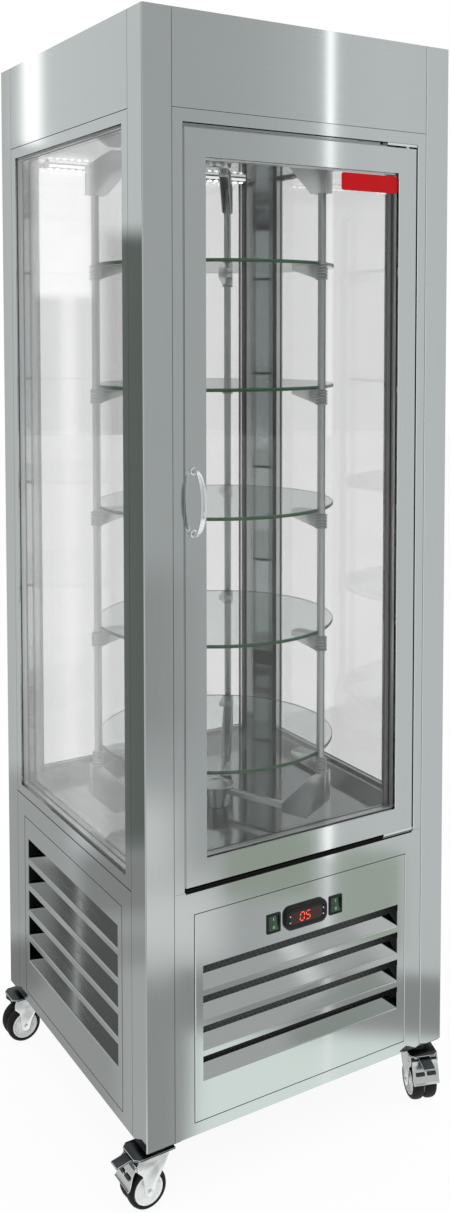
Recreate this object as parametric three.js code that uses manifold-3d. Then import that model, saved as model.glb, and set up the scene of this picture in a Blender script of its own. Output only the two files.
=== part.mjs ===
// Refrigerated display case with a revolving set of round glass shelves.
// Millimetres, +Z up, front face towards -Y. The finished group stands on Z = 0.
import * as THREE from 'three';
import { ConvexGeometry } from 'three/addons/geometries/ConvexGeometry.js';
import { mergeVertices } from 'three/addons/utils/BufferGeometryUtils.js';
import Module from 'manifold-3d';

const wasm = await Module();
wasm.setup();

// Cabinet
const bodyWidth = 600;
const bodyDepth = 600;
const bodyTop = 1884;
const casterHeight = 101;
const bayHeight = 402.5;
const headerHeight = 150;
const postFace = 50;
const postWall = 24;
const postEdgeRadius = 2.5;
const sheet = 3;
const skin = 2.5;

// Clearances: touching pieces, visible seams between skins, and the overrun of every cut
const fit = 0.3;
const seam = 0.8;
const overrun = 20;

// Door and the frame that it closes on
const doorThickness = 35;
const doorGapTop = 8;
const doorGapBottom = 7;
const doorGapSide = 3;
const doorStile = 38;
const doorTopRail = 43;
const doorBottomRail = 40.5;
const doorRebate = 9.5;
const doorFaceSkin = 3;
const surroundFace = 18;
const surroundRail = 20;
const surroundSill = 1.5;
const surroundSillSetback = 3.3;
const landingThickness = 4;
const gasketInset = 16;
const gasketWidth = 14;
const gasketThickness = 7.7;
const gasketRunningGap = 0.5;
const landingReveal = 2.5;
const hingeInset = 14;
const hingeDepth = 8;

// Glass
const paneThickness = 4;
const doorGlassThickness = 18;
const sideGlassThickness = 17.5;
const spacerWidth = 10;
const spacerVent = 3;

// Side and back windows
const windowFrameFace = 21.5;
const windowBottomRail = 18;
const windowTopRail = 20;

// Louvred panels of the machine bay
const panelInset = 36.2;
const panelHeight = 342;
const panelDrop = 39.5;
const louvreMargin = 15;
const louvreOpening = 38;
const louvrePitch = 50;
const louvreBase = 65.5;
const louvreSheet = 2;
const louvreRise = 5.5;
const frontLouvres = 4;
const sideLouvres = 5;

// Revolving shelves
const carouselStartAngle = 54;
const rodCount = 3;
const rodRadius = 7;
const carouselGlassGap = 36.2;
const rodInset = 15.5;
const shelfRodGap = 3.5;
const shelfThickness = 6;
const shelfCount = 5;
const lowShelfRise = 116;
const topShelfDrop = 202;
const lowSpiderGap = 20.75;
const topSpiderGap = 4;

// Casters
const wheelRadius = 33;
const casterTrail = 24;
const casterInset = 33;

// Levels and faces worked out from the sizes above
const halfWidth = bodyWidth / 2;
const halfDepth = bodyDepth / 2;
const bayBottom = casterHeight;
const bayTop = bayBottom + bayHeight;
const headerBottom = bodyTop - headerHeight;
const armWidthX = halfWidth - postFace - seam;
const armWidthY = halfDepth - postFace - seam;
const coreX = halfWidth - postWall - fit;
const coreY = halfDepth - postWall - fit;
const ceilingLevel = headerBottom - windowTopRail;
const bayLedgeDrop = 8;
const ledgeLevel = bayTop - bayLedgeDrop;
const deckLevel = ledgeLevel + fit + sheet + 1.5 * fit;
const sillLevel = bayTop + windowBottomRail;
const glassFront = skin + fit;
const glassBack = glassFront + sideGlassThickness;
const chamberReach = Math.min(halfWidth, halfDepth) - glassBack;
const carouselRadius = chamberReach - carouselGlassGap;
const rodCircle = carouselRadius - rodInset;
const shelfRadius = rodCircle - rodRadius - shelfRodGap;
const lowSpiderLevel = deckLevel + lowSpiderGap;
const topSpiderLevel = ceilingLevel - topSpiderGap;
const lowestShelf = lowSpiderLevel + lowShelfRise;
const highestShelf = topSpiderLevel - topShelfDrop;
const shelfPitch = (highestShelf - lowestShelf) / (shelfCount - 1);

const finishes = {
  brushedSteel: { color: 0xa9b0b1, roughness: 0.32, metalness: 1 },
  satinSteel: { color: 0x9aa1a3, roughness: 0.4, metalness: 1 },
  polishedSteel: { color: 0xc4c9ca, roughness: 0.14, metalness: 1 },
  chrome: { color: 0xd9dcdd, roughness: 0.06, metalness: 1 },
  zinc: { color: 0xd0d3d2, roughness: 0.3, metalness: 1 },
  darkSteel: { color: 0x55595a, roughness: 0.45, metalness: 1 },
  aluminium: { color: 0xb9bdbf, roughness: 0.4, metalness: 1 },
  copper: { color: 0xb26a42, roughness: 0.35, metalness: 1 },
  glass: { color: 0xe6f0ee, roughness: 0.03, metalness: 0, transparent: true, opacity: 0.25 },
  shelfGlass: { color: 0x9cc4ad, roughness: 0.03, metalness: 0, transparent: true, opacity: 0.4 },
  rubber: { color: 0x191919, roughness: 0.7, metalness: 0 },
  greyPlastic: { color: 0xb9bdbb, roughness: 0.5, metalness: 0 },
  blackPlastic: { color: 0x1b1b1c, roughness: 0.4, metalness: 0 },
  greenPlastic: { color: 0x5c8f68, roughness: 0.3, metalness: 0 },
  blackEnamel: { color: 0x202122, roughness: 0.35, metalness: 0.2 },
  lampDiffuser: { color: 0xf4f6f4, roughness: 0.5, metalness: 0 },
};

function radians(degrees) {
  return THREE.MathUtils.degToRad(degrees);
}

// A closed three.js geometry as a solid that can be joined and cut
function solidFrom(geometry) {
  const bare = geometry.clone();
  bare.deleteAttribute('normal');
  bare.deleteAttribute('uv');
  const merged = mergeVertices(bare, fit / 1000);
  const index = Array.from(merged.index.array);
  const triangles = [];
  for (let i = 0; i < index.length; i += 3) {
    const [a, b, c] = index.slice(i, i + 3);
    if (a !== b && b !== c && c !== a) triangles.push(a, b, c);
  }
  const mesh = new wasm.Mesh({
    numProp: 3,
    vertProperties: new Float32Array(merged.attributes.position.array),
    triVerts: new Uint32Array(triangles),
  });
  mesh.merge();
  return new wasm.Manifold(mesh);
}

function geometryFrom(solid) {
  const mesh = solid.getMesh();
  const geometry = new THREE.BufferGeometry();
  geometry.setAttribute('position', new THREE.BufferAttribute(new Float32Array(mesh.vertProperties), 3));
  geometry.setIndex(new THREE.BufferAttribute(new Uint32Array(mesh.triVerts), 1));
  geometry.computeVertexNormals();
  return geometry;
}

function cut(solid, ...tools) {
  return tools.reduce((rest, tool) => rest.subtract(tool), solid);
}

// Turns a geometry made along Z so that its own X, Y, Z become the named axis order
function alongAxis(geometry, axis) {
  if (axis === 'y') geometry.rotateX(Math.PI / 2);
  if (axis === 'x') geometry.rotateX(Math.PI / 2).rotateZ(Math.PI / 2);
  return geometry;
}

function cuboid(low, high) {
  const size = low.map((value, i) => high[i] - value);
  const middle = low.map((value, i) => (high[i] + value) / 2);
  return solidFrom(new THREE.BoxGeometry(...size).translate(...middle));
}

// An outline pushed from low to high. The outline lies in XY for z, in XZ for y and in YZ for x
function prism(points, low, high, axis = 'z') {
  const shape = new THREE.Shape(points.map(([u, v]) => new THREE.Vector2(u, v)));
  return shapePrism(shape, low, high, axis);
}

function shapePrism(shape, low, high, axis = 'z', curveSegments = 6) {
  const depth = high - low;
  const geometry = new THREE.ExtrudeGeometry(shape, { depth, bevelEnabled: false, curveSegments });
  const start = axis === 'y' ? -high : low;
  geometry.translate(0, 0, start);
  return solidFrom(alongAxis(geometry, axis));
}

// A profile of [radius, height] pairs turned about the named axis, listed from the low end up
function turned(profile, segments, axis = 'z') {
  const points = profile.map(([r, h]) => new THREE.Vector2(r, h));
  const geometry = new THREE.LatheGeometry(points, segments);
  if (axis === 'z') geometry.rotateX(Math.PI / 2);
  if (axis === 'x') geometry.rotateZ(-Math.PI / 2);
  return solidFrom(geometry);
}

function drum(radius, low, high, segments, axis = 'z') {
  return turned([[0, low], [radius, low], [radius, high], [0, high]], segments, axis);
}

function tube(inner, outer, low, high, segments, axis = 'z') {
  const wall = [[inner, low], [outer, low], [outer, high], [inner, high], [inner, low]];
  return turned(wall, segments, axis);
}

function moved(solid, x, y, z) {
  return solidFrom(geometryFrom(solid).translate(x, y, z));
}

function turnedAbout(solid, degrees) {
  return solidFrom(geometryFrom(solid).rotateZ(radians(degrees)));
}

function scaled(shares, width, height) {
  return shares.map(([u, v]) => [u * width, v * height]);
}

function hull(points) {
  return solidFrom(new ConvexGeometry(points.map(([x, y, z]) => new THREE.Vector3(x, y, z))));
}

// A straight round bar between two points
function bar(from, to, radius, segments) {
  const path = new THREE.Vector3(...to).sub(new THREE.Vector3(...from));
  const geometry = new THREE.CylinderGeometry(radius, radius, path.length(), segments);
  const up = new THREE.Vector3(0, 1, 0);
  geometry.applyQuaternion(new THREE.Quaternion().setFromUnitVectors(up, path.clone().normalize()));
  const middle = new THREE.Vector3(...from).add(path.multiplyScalar(0.5));
  return solidFrom(geometry.translate(...middle.toArray()));
}

function roundedRectangle(width, height, radius) {
  const shape = new THREE.Shape();
  const w = width / 2;
  const h = height / 2;
  shape.moveTo(radius - w, -h);
  shape.lineTo(w - radius, -h);
  shape.absarc(w - radius, radius - h, radius, -Math.PI / 2, 0);
  shape.lineTo(w, h - radius);
  shape.absarc(w - radius, h - radius, radius, 0, Math.PI / 2);
  shape.lineTo(radius - w, h);
  shape.absarc(radius - w, h - radius, radius, Math.PI / 2, Math.PI);
  shape.lineTo(-w, radius - h);
  shape.absarc(radius - w, radius - h, radius, Math.PI, 1.5 * Math.PI);
  return shape;
}

const model = new THREE.Group();
const carousel = new THREE.Group();
model.add(carousel);

function addPiece(parent, name, solid, finish, place = [0, 0, 0]) {
  const material = new THREE.MeshStandardMaterial(finishes[finish]);
  const mesh = new THREE.Mesh(geometryFrom(solid), material);
  mesh.name = name;
  mesh.position.set(...place);
  parent.add(mesh);
  return mesh;
}

// A plan like a plus sign: wide between the corner posts, square inside them
function crossPlan(reachX, reachY, halfArmX, halfArmY, innerX, innerY) {
  const corner = [
    [reachX, halfArmY],
    [innerX, halfArmY],
    [innerX, innerY],
    [halfArmX, innerY],
    [halfArmX, reachY],
  ];
  const mirrored = corner.map(([x, y]) => [-x, y]).reverse();
  const upper = [...corner, ...mirrored];
  const lower = upper.map(([x, y]) => [-x, -y]);
  return [...upper, ...lower];
}

// The plan that fills the cabinet between its posts, drawn in by an inset on all sides
function bodyPlan(inset) {
  return crossPlan(
    halfWidth - inset,
    halfDepth - inset,
    armWidthX - inset,
    armWidthY - inset,
    coreX - inset,
    coreY - inset,
  );
}

// A flat frame in the XZ plane, from its outer and inner half widths and levels
function facingFrame(outer, inner, front, back) {
  const ring = cuboid([-outer.half, front, outer.low], [outer.half, back, outer.high]);
  const hole = cuboid(
    [-inner.half, front - overrun, inner.low],
    [inner.half, back + overrun, inner.high],
  );
  return cut(ring, hole);
}

// Turns a piece made for the front face so that it faces left, right or back
const faces = {
  front: { angle: 0, reach: halfDepth, arm: armWidthX },
  left: { angle: -90, reach: halfWidth, arm: armWidthY },
  right: { angle: 90, reach: halfWidth, arm: armWidthY },
  back: { angle: 180, reach: halfDepth, arm: armWidthX },
};

function addFacing(name, face, solid, finish) {
  const mesh = addPiece(model, name, solid, finish);
  mesh.rotation.z = radians(faces[face].angle);
  return mesh;
}

// Corner posts: L sections with a rounded outer edge
function cornerPost() {
  const shape = new THREE.Shape();
  shape.moveTo(postFace, 0);
  shape.lineTo(postFace, postWall);
  shape.lineTo(postWall, postWall);
  shape.lineTo(postWall, postFace);
  shape.lineTo(0, postFace);
  shape.lineTo(0, postEdgeRadius);
  shape.absarc(postEdgeRadius, postEdgeRadius, postEdgeRadius, Math.PI, 1.5 * Math.PI);
  shape.lineTo(postFace, 0);
  return shapePrism(shape, bayBottom, bodyTop, 'z', 3);
}

const cornerPosts = [
  ['front_left', -1, -1, 0],
  ['front_right', 1, -1, 90],
  ['back_right', 1, 1, 180],
  ['back_left', -1, 1, 270],
];
for (const [corner, signX, signY, angle] of cornerPosts) {
  const mesh = addPiece(model, `corner_post_${corner}`, cornerPost(), 'brushedSteel');
  mesh.rotation.z = radians(angle);
  mesh.position.set(signX * halfWidth, signY * halfDepth, 0);
}

// Machine bay: a folded box that seats the posts in its corners, with an opening on each side,
// a ledge for the chamber floor and a plate under each corner for a caster
const casterPlateSize = 60;
const casterPlateThickness = 3;
const kingpinRadius = 8;
const kingpinLength = 14;
const kingpinHeadRadius = 12;
const kingpinHeadHeight = 4;
const bayLedgeWidth = 34;
const casterX = halfWidth - casterInset;
const casterY = halfDepth - casterInset;
const panelTop = bayTop - panelDrop;
const panelBottom = panelTop - panelHeight;

function panelHalf(face) {
  return faces[face].arm - panelInset;
}

function machineBay() {
  const floorBottom = bayBottom - fit;
  const walls = cut(
    prism(bodyPlan(0), floorBottom, bayTop),
    prism(bodyPlan(sheet), bayBottom + sheet, bayTop + overrun),
  );
  const ledgeSolid = prism(bodyPlan(sheet / 2), ledgeLevel - sheet, ledgeLevel);
  const ledgeHole = cuboid(
    [bayLedgeWidth - coreX, bayLedgeWidth - coreY, bayBottom],
    [coreX - bayLedgeWidth, coreY - bayLedgeWidth, bodyTop],
  );
  let bay = walls.add(ledgeSolid.subtract(ledgeHole));
  const halfX = panelHalf('front') + seam;
  const halfY = panelHalf('left') + seam;
  const low = panelBottom - seam;
  const high = panelTop + seam;
  bay = cut(
    bay,
    cuboid([-halfX, -halfDepth - overrun, low], [halfX, halfDepth + overrun, high]),
    cuboid([-halfWidth - overrun, -halfY, low], [halfWidth + overrun, halfY, high]),
  );
  for (const [signX, signY] of [[-1, -1], [1, -1], [1, 1], [-1, 1]]) {
    const x = signX * casterX;
    const y = signY * casterY;
    const reach = casterPlateSize / 2;
    const plateLow = floorBottom - casterPlateThickness;
    const plate = cuboid([x - reach, y - reach, plateLow], [x + reach, y + reach, floorBottom]);
    const pinLow = plateLow - kingpinLength;
    const pin = drum(kingpinRadius, pinLow, floorBottom + sheet / 2, 12);
    const head = drum(kingpinHeadRadius, pinLow - kingpinHeadHeight, pinLow, 12);
    bay = bay.add(plate).add(moved(pin.add(head), x, y, 0));
  }
  return bay;
}
addPiece(model, 'machine_bay', machineBay(), 'satinSteel');

// Header panels close the top between the posts, and a roof pan drops in behind them
const headerFlange = 40;
const roofSkirt = 22;
function headerPanel(face) {
  const { reach, arm } = faces[face];
  const front = cuboid([-arm, -reach, headerBottom], [arm, skin - reach, bodyTop]);
  const flange = cuboid([-arm, -reach, headerBottom], [arm, headerFlange - reach, headerBottom + skin]);
  return front.add(flange);
}
for (const face of Object.keys(faces)) {
  addFacing(`header_${face}`, face, headerPanel(face), 'brushedSteel');
}

const roofInset = skin + fit;
const roofPan = cut(
  prism(bodyPlan(roofInset), bodyTop - roofSkirt, bodyTop),
  prism(bodyPlan(roofInset + sheet), bodyTop - roofSkirt - overrun, bodyTop - sheet),
);
addPiece(model, 'roof_panel', roofPan, 'satinSteel');

// Door surround: two stiles, a rail and the landing that the gasket closes on
const surroundInner = armWidthX - surroundFace;
const doorHalf = surroundInner - doorGapSide;
const doorTop = headerBottom - seam - surroundRail - doorGapTop;
const doorBottom = bayTop + doorGapBottom;
const gasketBack = doorThickness + fit + gasketThickness;
const landingFront = -halfDepth + gasketBack + gasketRunningGap;
const landingInset = gasketInset + gasketWidth + landingReveal;
const surroundBottom = bayTop + fit;
const surroundTop = headerBottom - seam;

function doorSurround() {
  const front = -halfDepth;
  const back = landingFront + landingThickness;
  const outer = { half: armWidthX, low: surroundBottom, high: surroundTop };
  const mouth = { half: surroundInner, low: surroundBottom - overrun, high: doorTop + doorGapTop };
  const sill = cuboid(
    [-armWidthX, front + surroundSillSetback, surroundBottom],
    [armWidthX, back, surroundBottom + surroundSill],
  );
  const deep = facingFrame(outer, mouth, front, back).add(sill);
  const inner = {
    half: doorHalf - landingInset,
    low: doorBottom + landingInset,
    high: doorTop - landingInset,
  };
  return deep.add(facingFrame(outer, inner, landingFront, back));
}
addPiece(model, 'door_surround', doorSurround(), 'brushedSteel');

// Window frames on the left, right and back, each with a double-glazed unit behind it
function windowFrame(arm, reach) {
  const outer = { half: arm, low: bayTop + seam, high: headerBottom - seam };
  const inner = {
    half: arm + seam - windowFrameFace,
    low: sillLevel,
    high: headerBottom - windowTopRail,
  };
  return facingFrame(outer, inner, -reach, skin - reach);
}

// Two panes on a spacer bar, all round. A vent through the bar keeps the gap between them open
function glazedUnit(half, low, high, front, thickness) {
  const back = front + thickness;
  const slab = cuboid([-half, front, low], [half, back, high]);
  const gap = cuboid(
    [spacerWidth - half, front + paneThickness, low + spacerWidth],
    [half - spacerWidth, back - paneThickness, high - spacerWidth],
  );
  const middle = (front + back) / 2;
  const reach = spacerVent / 2;
  const vent = cuboid(
    [-reach, middle - reach, low - overrun],
    [reach, middle + reach, low + 2 * spacerWidth],
  );
  return cut(slab, gap, vent);
}

const windowGlassTop = headerBottom - 4 * seam;
const windowGlassBottom = bayTop + 2 * seam;
for (const face of ['left', 'right', 'back']) {
  const { reach, arm } = faces[face];
  addFacing(`window_frame_${face}`, face, windowFrame(arm, reach), 'brushedSteel');
  const unit = glazedUnit(arm, windowGlassBottom, windowGlassTop, glassFront - reach, sideGlassThickness);
  addFacing(`glass_unit_${face}`, face, unit, 'glass');
}

// Louvred panels: each opening is lanced on three sides and its flap is bent inwards from the
// bottom edge. The front one also carries the switches and the controller
const switchWidth = 26;
const switchHeight = 31.5;
const switchSpacing = 63;
const switchDrop = 52.5;
const bezelRim = 3;
const bezelProud = 2;
const rockerGap = 0.6;
const controllerWidth = 86;
const controllerHeight = 40;
const controllerCentreX = -1;
const controllerCornerRadius = 14;
const controllerProud = 7;
const controllerCutWidth = 71;
const controllerCutHeight = 29;
const controllerBody = 58;
const switchLevel = panelTop - switchDrop;

function louvreFlap(half, bottom, face) {
  const reach = louvreOpening - louvreSheet;
  const tip = bottom + louvreRise;
  const section = [
    [face, bottom - louvreSheet / 2],
    [face + reach, tip],
    [face + reach, tip + louvreSheet],
    [face, bottom + louvreSheet / 2],
  ];
  return prism(section, -half, half, 'x');
}

function louvredPanel(face, count) {
  const { reach } = faces[face];
  const half = panelHalf(face);
  const louvreHalf = half - louvreMargin;
  const back = louvreSheet - reach;
  let panel = cuboid([-half, -reach, panelBottom], [half, back, panelTop]);
  for (let i = 0; i < count; i += 1) {
    const bottom = panelBottom + louvreBase + i * louvrePitch;
    const hole = cuboid(
      [-louvreHalf, -reach - overrun, bottom],
      [louvreHalf, back + overrun, bottom + louvreOpening],
    );
    panel = panel.subtract(hole).add(louvreFlap(louvreHalf, bottom, back - louvreSheet / 2));
  }
  return panel;
}

function frontPanel() {
  let panel = louvredPanel('front', frontLouvres);
  const front = -halfDepth;
  for (const side of [-1, 1]) {
    const centre = controllerCentreX + side * switchSpacing;
    const outerX = switchWidth / 2;
    const outerZ = switchHeight / 2;
    const bezel = cuboid(
      [centre - outerX, front - bezelProud, switchLevel - outerZ],
      [centre + outerX, front + louvreSheet, switchLevel + outerZ],
    );
    const hole = cuboid(
      [centre - outerX + bezelRim, front - overrun, switchLevel - outerZ + bezelRim],
      [centre + outerX - bezelRim, front + overrun, switchLevel + outerZ - bezelRim],
    );
    panel = panel.add(bezel).subtract(hole);
  }
  const cutX = controllerCutWidth / 2 + fit;
  const cutZ = controllerCutHeight / 2 + fit;
  return cut(panel, cuboid(
    [controllerCentreX - cutX, front - overrun, switchLevel - cutZ],
    [controllerCentreX + cutX, front + overrun, switchLevel + cutZ],
  ));
}
addPiece(model, 'front_panel', frontPanel(), 'brushedSteel');
addFacing('left_panel', 'left', louvredPanel('left', sideLouvres), 'brushedSteel');
addFacing('right_panel', 'right', louvredPanel('right', sideLouvres), 'brushedSteel');

// Back panel with louvres and the gland that the supply cord would pass through
const glandRadius = 9;
const glandBore = 4.5;
const glandProud = 10;
const glandX = 150;
const glandRise = 30;
function backPanel() {
  const panel = louvredPanel('back', sideLouvres);
  const level = panelBottom + glandRise;
  const body = drum(glandRadius, -halfDepth - glandProud, louvreSheet - halfDepth + glandProud, 6, 'y');
  const bore = drum(glandBore, -halfDepth - overrun, overrun - halfDepth, 12, 'y');
  return cut(panel.add(moved(body, glandX, 0, level)), moved(bore, glandX, 0, level));
}
addFacing('back_panel', 'back', backPanel(), 'brushedSteel');

// Temperature controller: a bezel with rounded ends on a body that passes through the panel
function controller() {
  const bezel = shapePrism(
    roundedRectangle(controllerWidth, controllerHeight, controllerCornerRadius),
    -halfDepth - controllerProud,
    -halfDepth - fit,
    'y',
  );
  const x = controllerCutWidth / 2;
  const z = controllerCutHeight / 2;
  const body = cuboid([-x, -halfDepth - controllerProud / 2, -z], [x, controllerBody - halfDepth, z]);
  return bezel.add(body);
}
addPiece(model, 'controller', controller(), 'blackPlastic', [controllerCentreX, 0, switchLevel]);

// Rocker switches: each turns about a level pin between its two seats
const rockerTilt = 6;
const rockerDepth = 9;
const rockerProud = 1;
function rocker() {
  const x = switchWidth / 2 - bezelRim - rockerGap / 2;
  const z = switchHeight / 2 - bezelRim - rockerGap;
  const section = [
    [-rockerProud - rockerGap, -z],
    [rockerProud / 2, 0],
    [-rockerProud - rockerGap, z],
    [rockerDepth / 2, z - rockerGap],
    [rockerDepth, 0],
    [rockerDepth / 2, rockerGap - z],
  ];
  const pinRadius = 1;
  const body = prism(section, -x, x, 'x');
  return body.add(drum(pinRadius, -x, x, 8, 'x'));
}
for (const [name, side] of [['rocker_switch_left', -1], ['rocker_switch_right', 1]]) {
  const place = [controllerCentreX + side * switchSpacing, -halfDepth + rockerGap, switchLevel];
  const mesh = addPiece(model, name, rocker(), 'greenPlastic', place);
  mesh.rotation.x = radians(-rockerTilt);
}

// Chamber floor: a pan on the bay's ledge, with a raised rim and insulation under it
const deckInsulation = 35;
const deckRimWidth = 4;
const deckHoleRadius = 7.5;
const deckFrontEdge = landingFront + landingThickness + fit;
function chamberFloor() {
  const x = coreX - sheet - fit;
  const back = coreY - sheet - fit;
  const low = ledgeLevel + fit;
  const slab = cuboid([-x, deckFrontEdge, low], [x, back, sillLevel]);
  const hollow = cuboid(
    [deckRimWidth - x, deckFrontEdge + deckRimWidth, deckLevel],
    [x - deckRimWidth, back - deckRimWidth, sillLevel + overrun],
  );
  const innerX = coreX - bayLedgeWidth - fit;
  const innerY = coreY - bayLedgeWidth - fit;
  const core = cuboid([-innerX, -innerY, low - deckInsulation], [innerX, innerY, deckLevel - fit]);
  const lipX = halfWidth - glassBack - fit;
  const lipY = halfDepth - glassBack - fit;
  const sideLip = cuboid([-lipX, -armWidthY, sillLevel - sheet], [lipX, armWidthY, sillLevel]);
  const backLip = cuboid([-armWidthX, 0, sillLevel - sheet], [armWidthX, lipY, sillLevel]);
  const pan = cut(slab.add(sideLip).add(backLip), hollow);
  return cut(pan.add(core), drum(deckHoleRadius, 0, bodyTop, 24));
}
addPiece(model, 'chamber_floor', chamberFloor(), 'satinSteel');

// Ceiling liner: a pan under the headers, with a bush for the top pivot and a fan guard
const bushRadius = 14;
const bushHeight = 14;
const topPivotRadius = 5;
const pivotClearance = 0.3;
const fanGuardInset = 110.7;
const fanGuardRadius = 62;
const guardBar = 4;
const guardRingShares = [0.66];
const guardMotorRadius = 22;
const guardMotorHeight = 18;
const guardShaftLength = 22;
const guardShaftRadius = 4;
const fanGuardY = coreY - fanGuardInset;
const linerWallX = coreX - fit;
const linerWallY = coreY - fit;
function ceilingLiner() {
  const pan = cut(
    cuboid([-linerWallX, deckFrontEdge, ceilingLevel], [linerWallX, linerWallY, headerBottom - fit]),
    cuboid(
      [sheet - linerWallX, deckFrontEdge + sheet, ceilingLevel + sheet],
      [linerWallX - sheet, linerWallY - sheet, bodyTop],
    ),
  );
  const bush = drum(bushRadius, ceilingLevel, ceilingLevel + bushHeight, 16);
  const hole = moved(drum(fanGuardRadius, 0, bodyTop, 20), 0, fanGuardY, 0);
  let liner = pan.add(bush).subtract(hole);
  const half = guardBar / 2;
  const reach = fanGuardRadius + guardBar;
  const top = ceilingLevel + sheet;
  for (const [x, y] of [[reach, half], [half, reach]]) {
    liner = liner.add(cuboid([-x, fanGuardY - y, ceilingLevel], [x, fanGuardY + y, top]));
  }
  for (const share of guardRingShares) {
    const radius = fanGuardRadius * share;
    const ring = tube(radius - half, radius + half, ceilingLevel, top, 16);
    liner = liner.add(moved(ring, 0, fanGuardY, 0));
  }
  const motorTop = top + guardMotorHeight;
  const motor = drum(guardMotorRadius, ceilingLevel, motorTop, 12);
  const shaft = drum(guardShaftRadius, ceilingLevel, motorTop + guardShaftLength, 12);
  liner = liner.add(moved(motor.add(shaft), 0, fanGuardY, 0));
  return liner.subtract(drum(topPivotRadius + pivotClearance, 0, bodyTop, 24));
}
addPiece(model, 'ceiling_liner', ceilingLiner(), 'satinSteel');

// Lamp bar along the back of the ceiling, with a row of round lenses under it
const lampEndGap = 55.4;
const lampLength = 2 * (linerWallX - lampEndGap);
const lampDepth = 18;
const lampHeight = 9;
const lampBackGap = 6;
const lensCount = 10;
const lensRadius = 6;
const lensDrop = 2.5;
const lensEdgeShare = 0.85;
function lampBar() {
  const top = ceilingLevel - fit;
  const back = coreY - lampBackGap;
  const front = back - lampDepth;
  let lamp = cuboid([-lampLength / 2, front, top - lampHeight], [lampLength / 2, back, top]);
  const middle = (front + back) / 2;
  const pitch = lampLength / lensCount;
  const low = top - lampHeight;
  const profile = [[0, low - lensDrop], [lensRadius * lensEdgeShare, low - lensDrop / 2]];
  profile.push([lensRadius, low + lensDrop / 2], [0, low + lensDrop / 2]);
  for (let i = 0; i < lensCount; i += 1) {
    const lens = turned(profile, 6);
    lamp = lamp.add(moved(lens, (i + 0.5) * pitch - lampLength / 2, middle, 0));
  }
  return lamp;
}
addPiece(model, 'lamp_bar', lampBar(), 'lampDiffuser');

// Door: a rebated frame, its double-glazed unit, the gasket, the handle and two pivot hinges
const pivotX = doorHalf - hingeInset;
const pivotY = -halfDepth + hingeDepth;
const hingePinRadius = 4;
const hingePinLength = 12;
const hingePlateThickness = 4;
const hingePlateLength = 64;
const hingePlateDepth = 14;
const hingeBoreClearance = 0.35;
const doorOpening = {
  half: doorHalf - doorStile,
  low: doorBottom + doorBottomRail,
  high: doorTop - doorTopRail,
};

function doorFrame() {
  const front = -halfDepth;
  const back = front + doorThickness;
  const outer = { half: doorHalf, low: doorBottom, high: doorTop };
  const rebate = {
    half: doorOpening.half + doorRebate,
    low: doorOpening.low - doorRebate,
    high: doorOpening.high + doorRebate,
  };
  const frame = facingFrame(outer, doorOpening, front, front + doorFaceSkin);
  const bored = frame.add(facingFrame(outer, rebate, front + doorFaceSkin, back));
  const depth = hingePinLength - doorGapTop / 2 + hingePlateThickness;
  const topBore = drum(hingePinRadius + hingeBoreClearance, doorTop - depth, doorTop + overrun, 24);
  const lowBore = drum(hingePinRadius + hingeBoreClearance, doorBottom - overrun, doorBottom + depth, 24);
  return cut(bored, moved(topBore, pivotX, pivotY, 0), moved(lowBore, pivotX, pivotY, 0));
}
addPiece(model, 'door_frame', doorFrame(), 'brushedSteel');

const doorGlassHalf = doorOpening.half + doorRebate - fit;
const doorGlass = glazedUnit(
  doorGlassHalf,
  doorOpening.low - doorRebate + fit,
  doorOpening.high + doorRebate - fit,
  -halfDepth + doorFaceSkin + fit,
  doorGlassThickness,
);
addPiece(model, 'door_glass', doorGlass, 'glass');

const gasketOuter = {
  half: doorHalf - gasketInset,
  low: doorBottom + gasketInset,
  high: doorTop - gasketInset,
};
const gasketInner = {
  half: gasketOuter.half - gasketWidth,
  low: gasketOuter.low + gasketWidth,
  high: gasketOuter.high - gasketWidth,
};
const gasketFront = -halfDepth + doorThickness + fit;
const gasket = facingFrame(gasketOuter, gasketInner, gasketFront, gasketFront + gasketThickness);
addPiece(model, 'door_gasket', gasket, 'rubber');

// Bow handle on the stile, an oval bar bent to an arc on two feet
const handleInset = 14.7;
const handleRise = 614.5;
const handleLength = 104;
const handleBow = 30;
const handleBarWidth = 10;
const handleBarDepth = 6;
const handleSteps = 10;
const handleFootRadius = 4.5;
const handleFootReach = 7;
function doorHandle() {
  const half = handleLength / 2;
  const face = -halfDepth - fit - handleFootReach;
  const path = new THREE.CatmullRomCurve3(
    Array.from({ length: handleSteps + 1 }, (unused, i) => {
      const turn = Math.PI * (i / handleSteps - 0.5);
      const y = face + handleFootReach / 2 - handleBow * Math.cos(turn);
      return new THREE.Vector3(0, y, half * Math.sin(turn));
    }),
  );
  const section = new THREE.Shape();
  section.absellipse(0, 0, handleBarDepth / 2, handleBarWidth / 2, 0, 2 * Math.PI);
  const bow = new THREE.ExtrudeGeometry(section, {
    steps: handleSteps,
    curveSegments: 4,
    extrudePath: path,
    bevelEnabled: false,
  });
  let handle = solidFrom(bow);
  for (const end of [-1, 1]) {
    const level = end * (half - handleFootRadius / 2);
    const foot = drum(handleFootRadius, face - handleBarDepth / 2, -halfDepth - fit, 10, 'y');
    handle = handle.add(moved(foot, 0, 0, level));
  }
  return moved(handle, handleInset - doorHalf, 0, doorBottom + handleRise);
}
addPiece(model, 'door_handle', doorHandle(), 'chrome');

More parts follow.
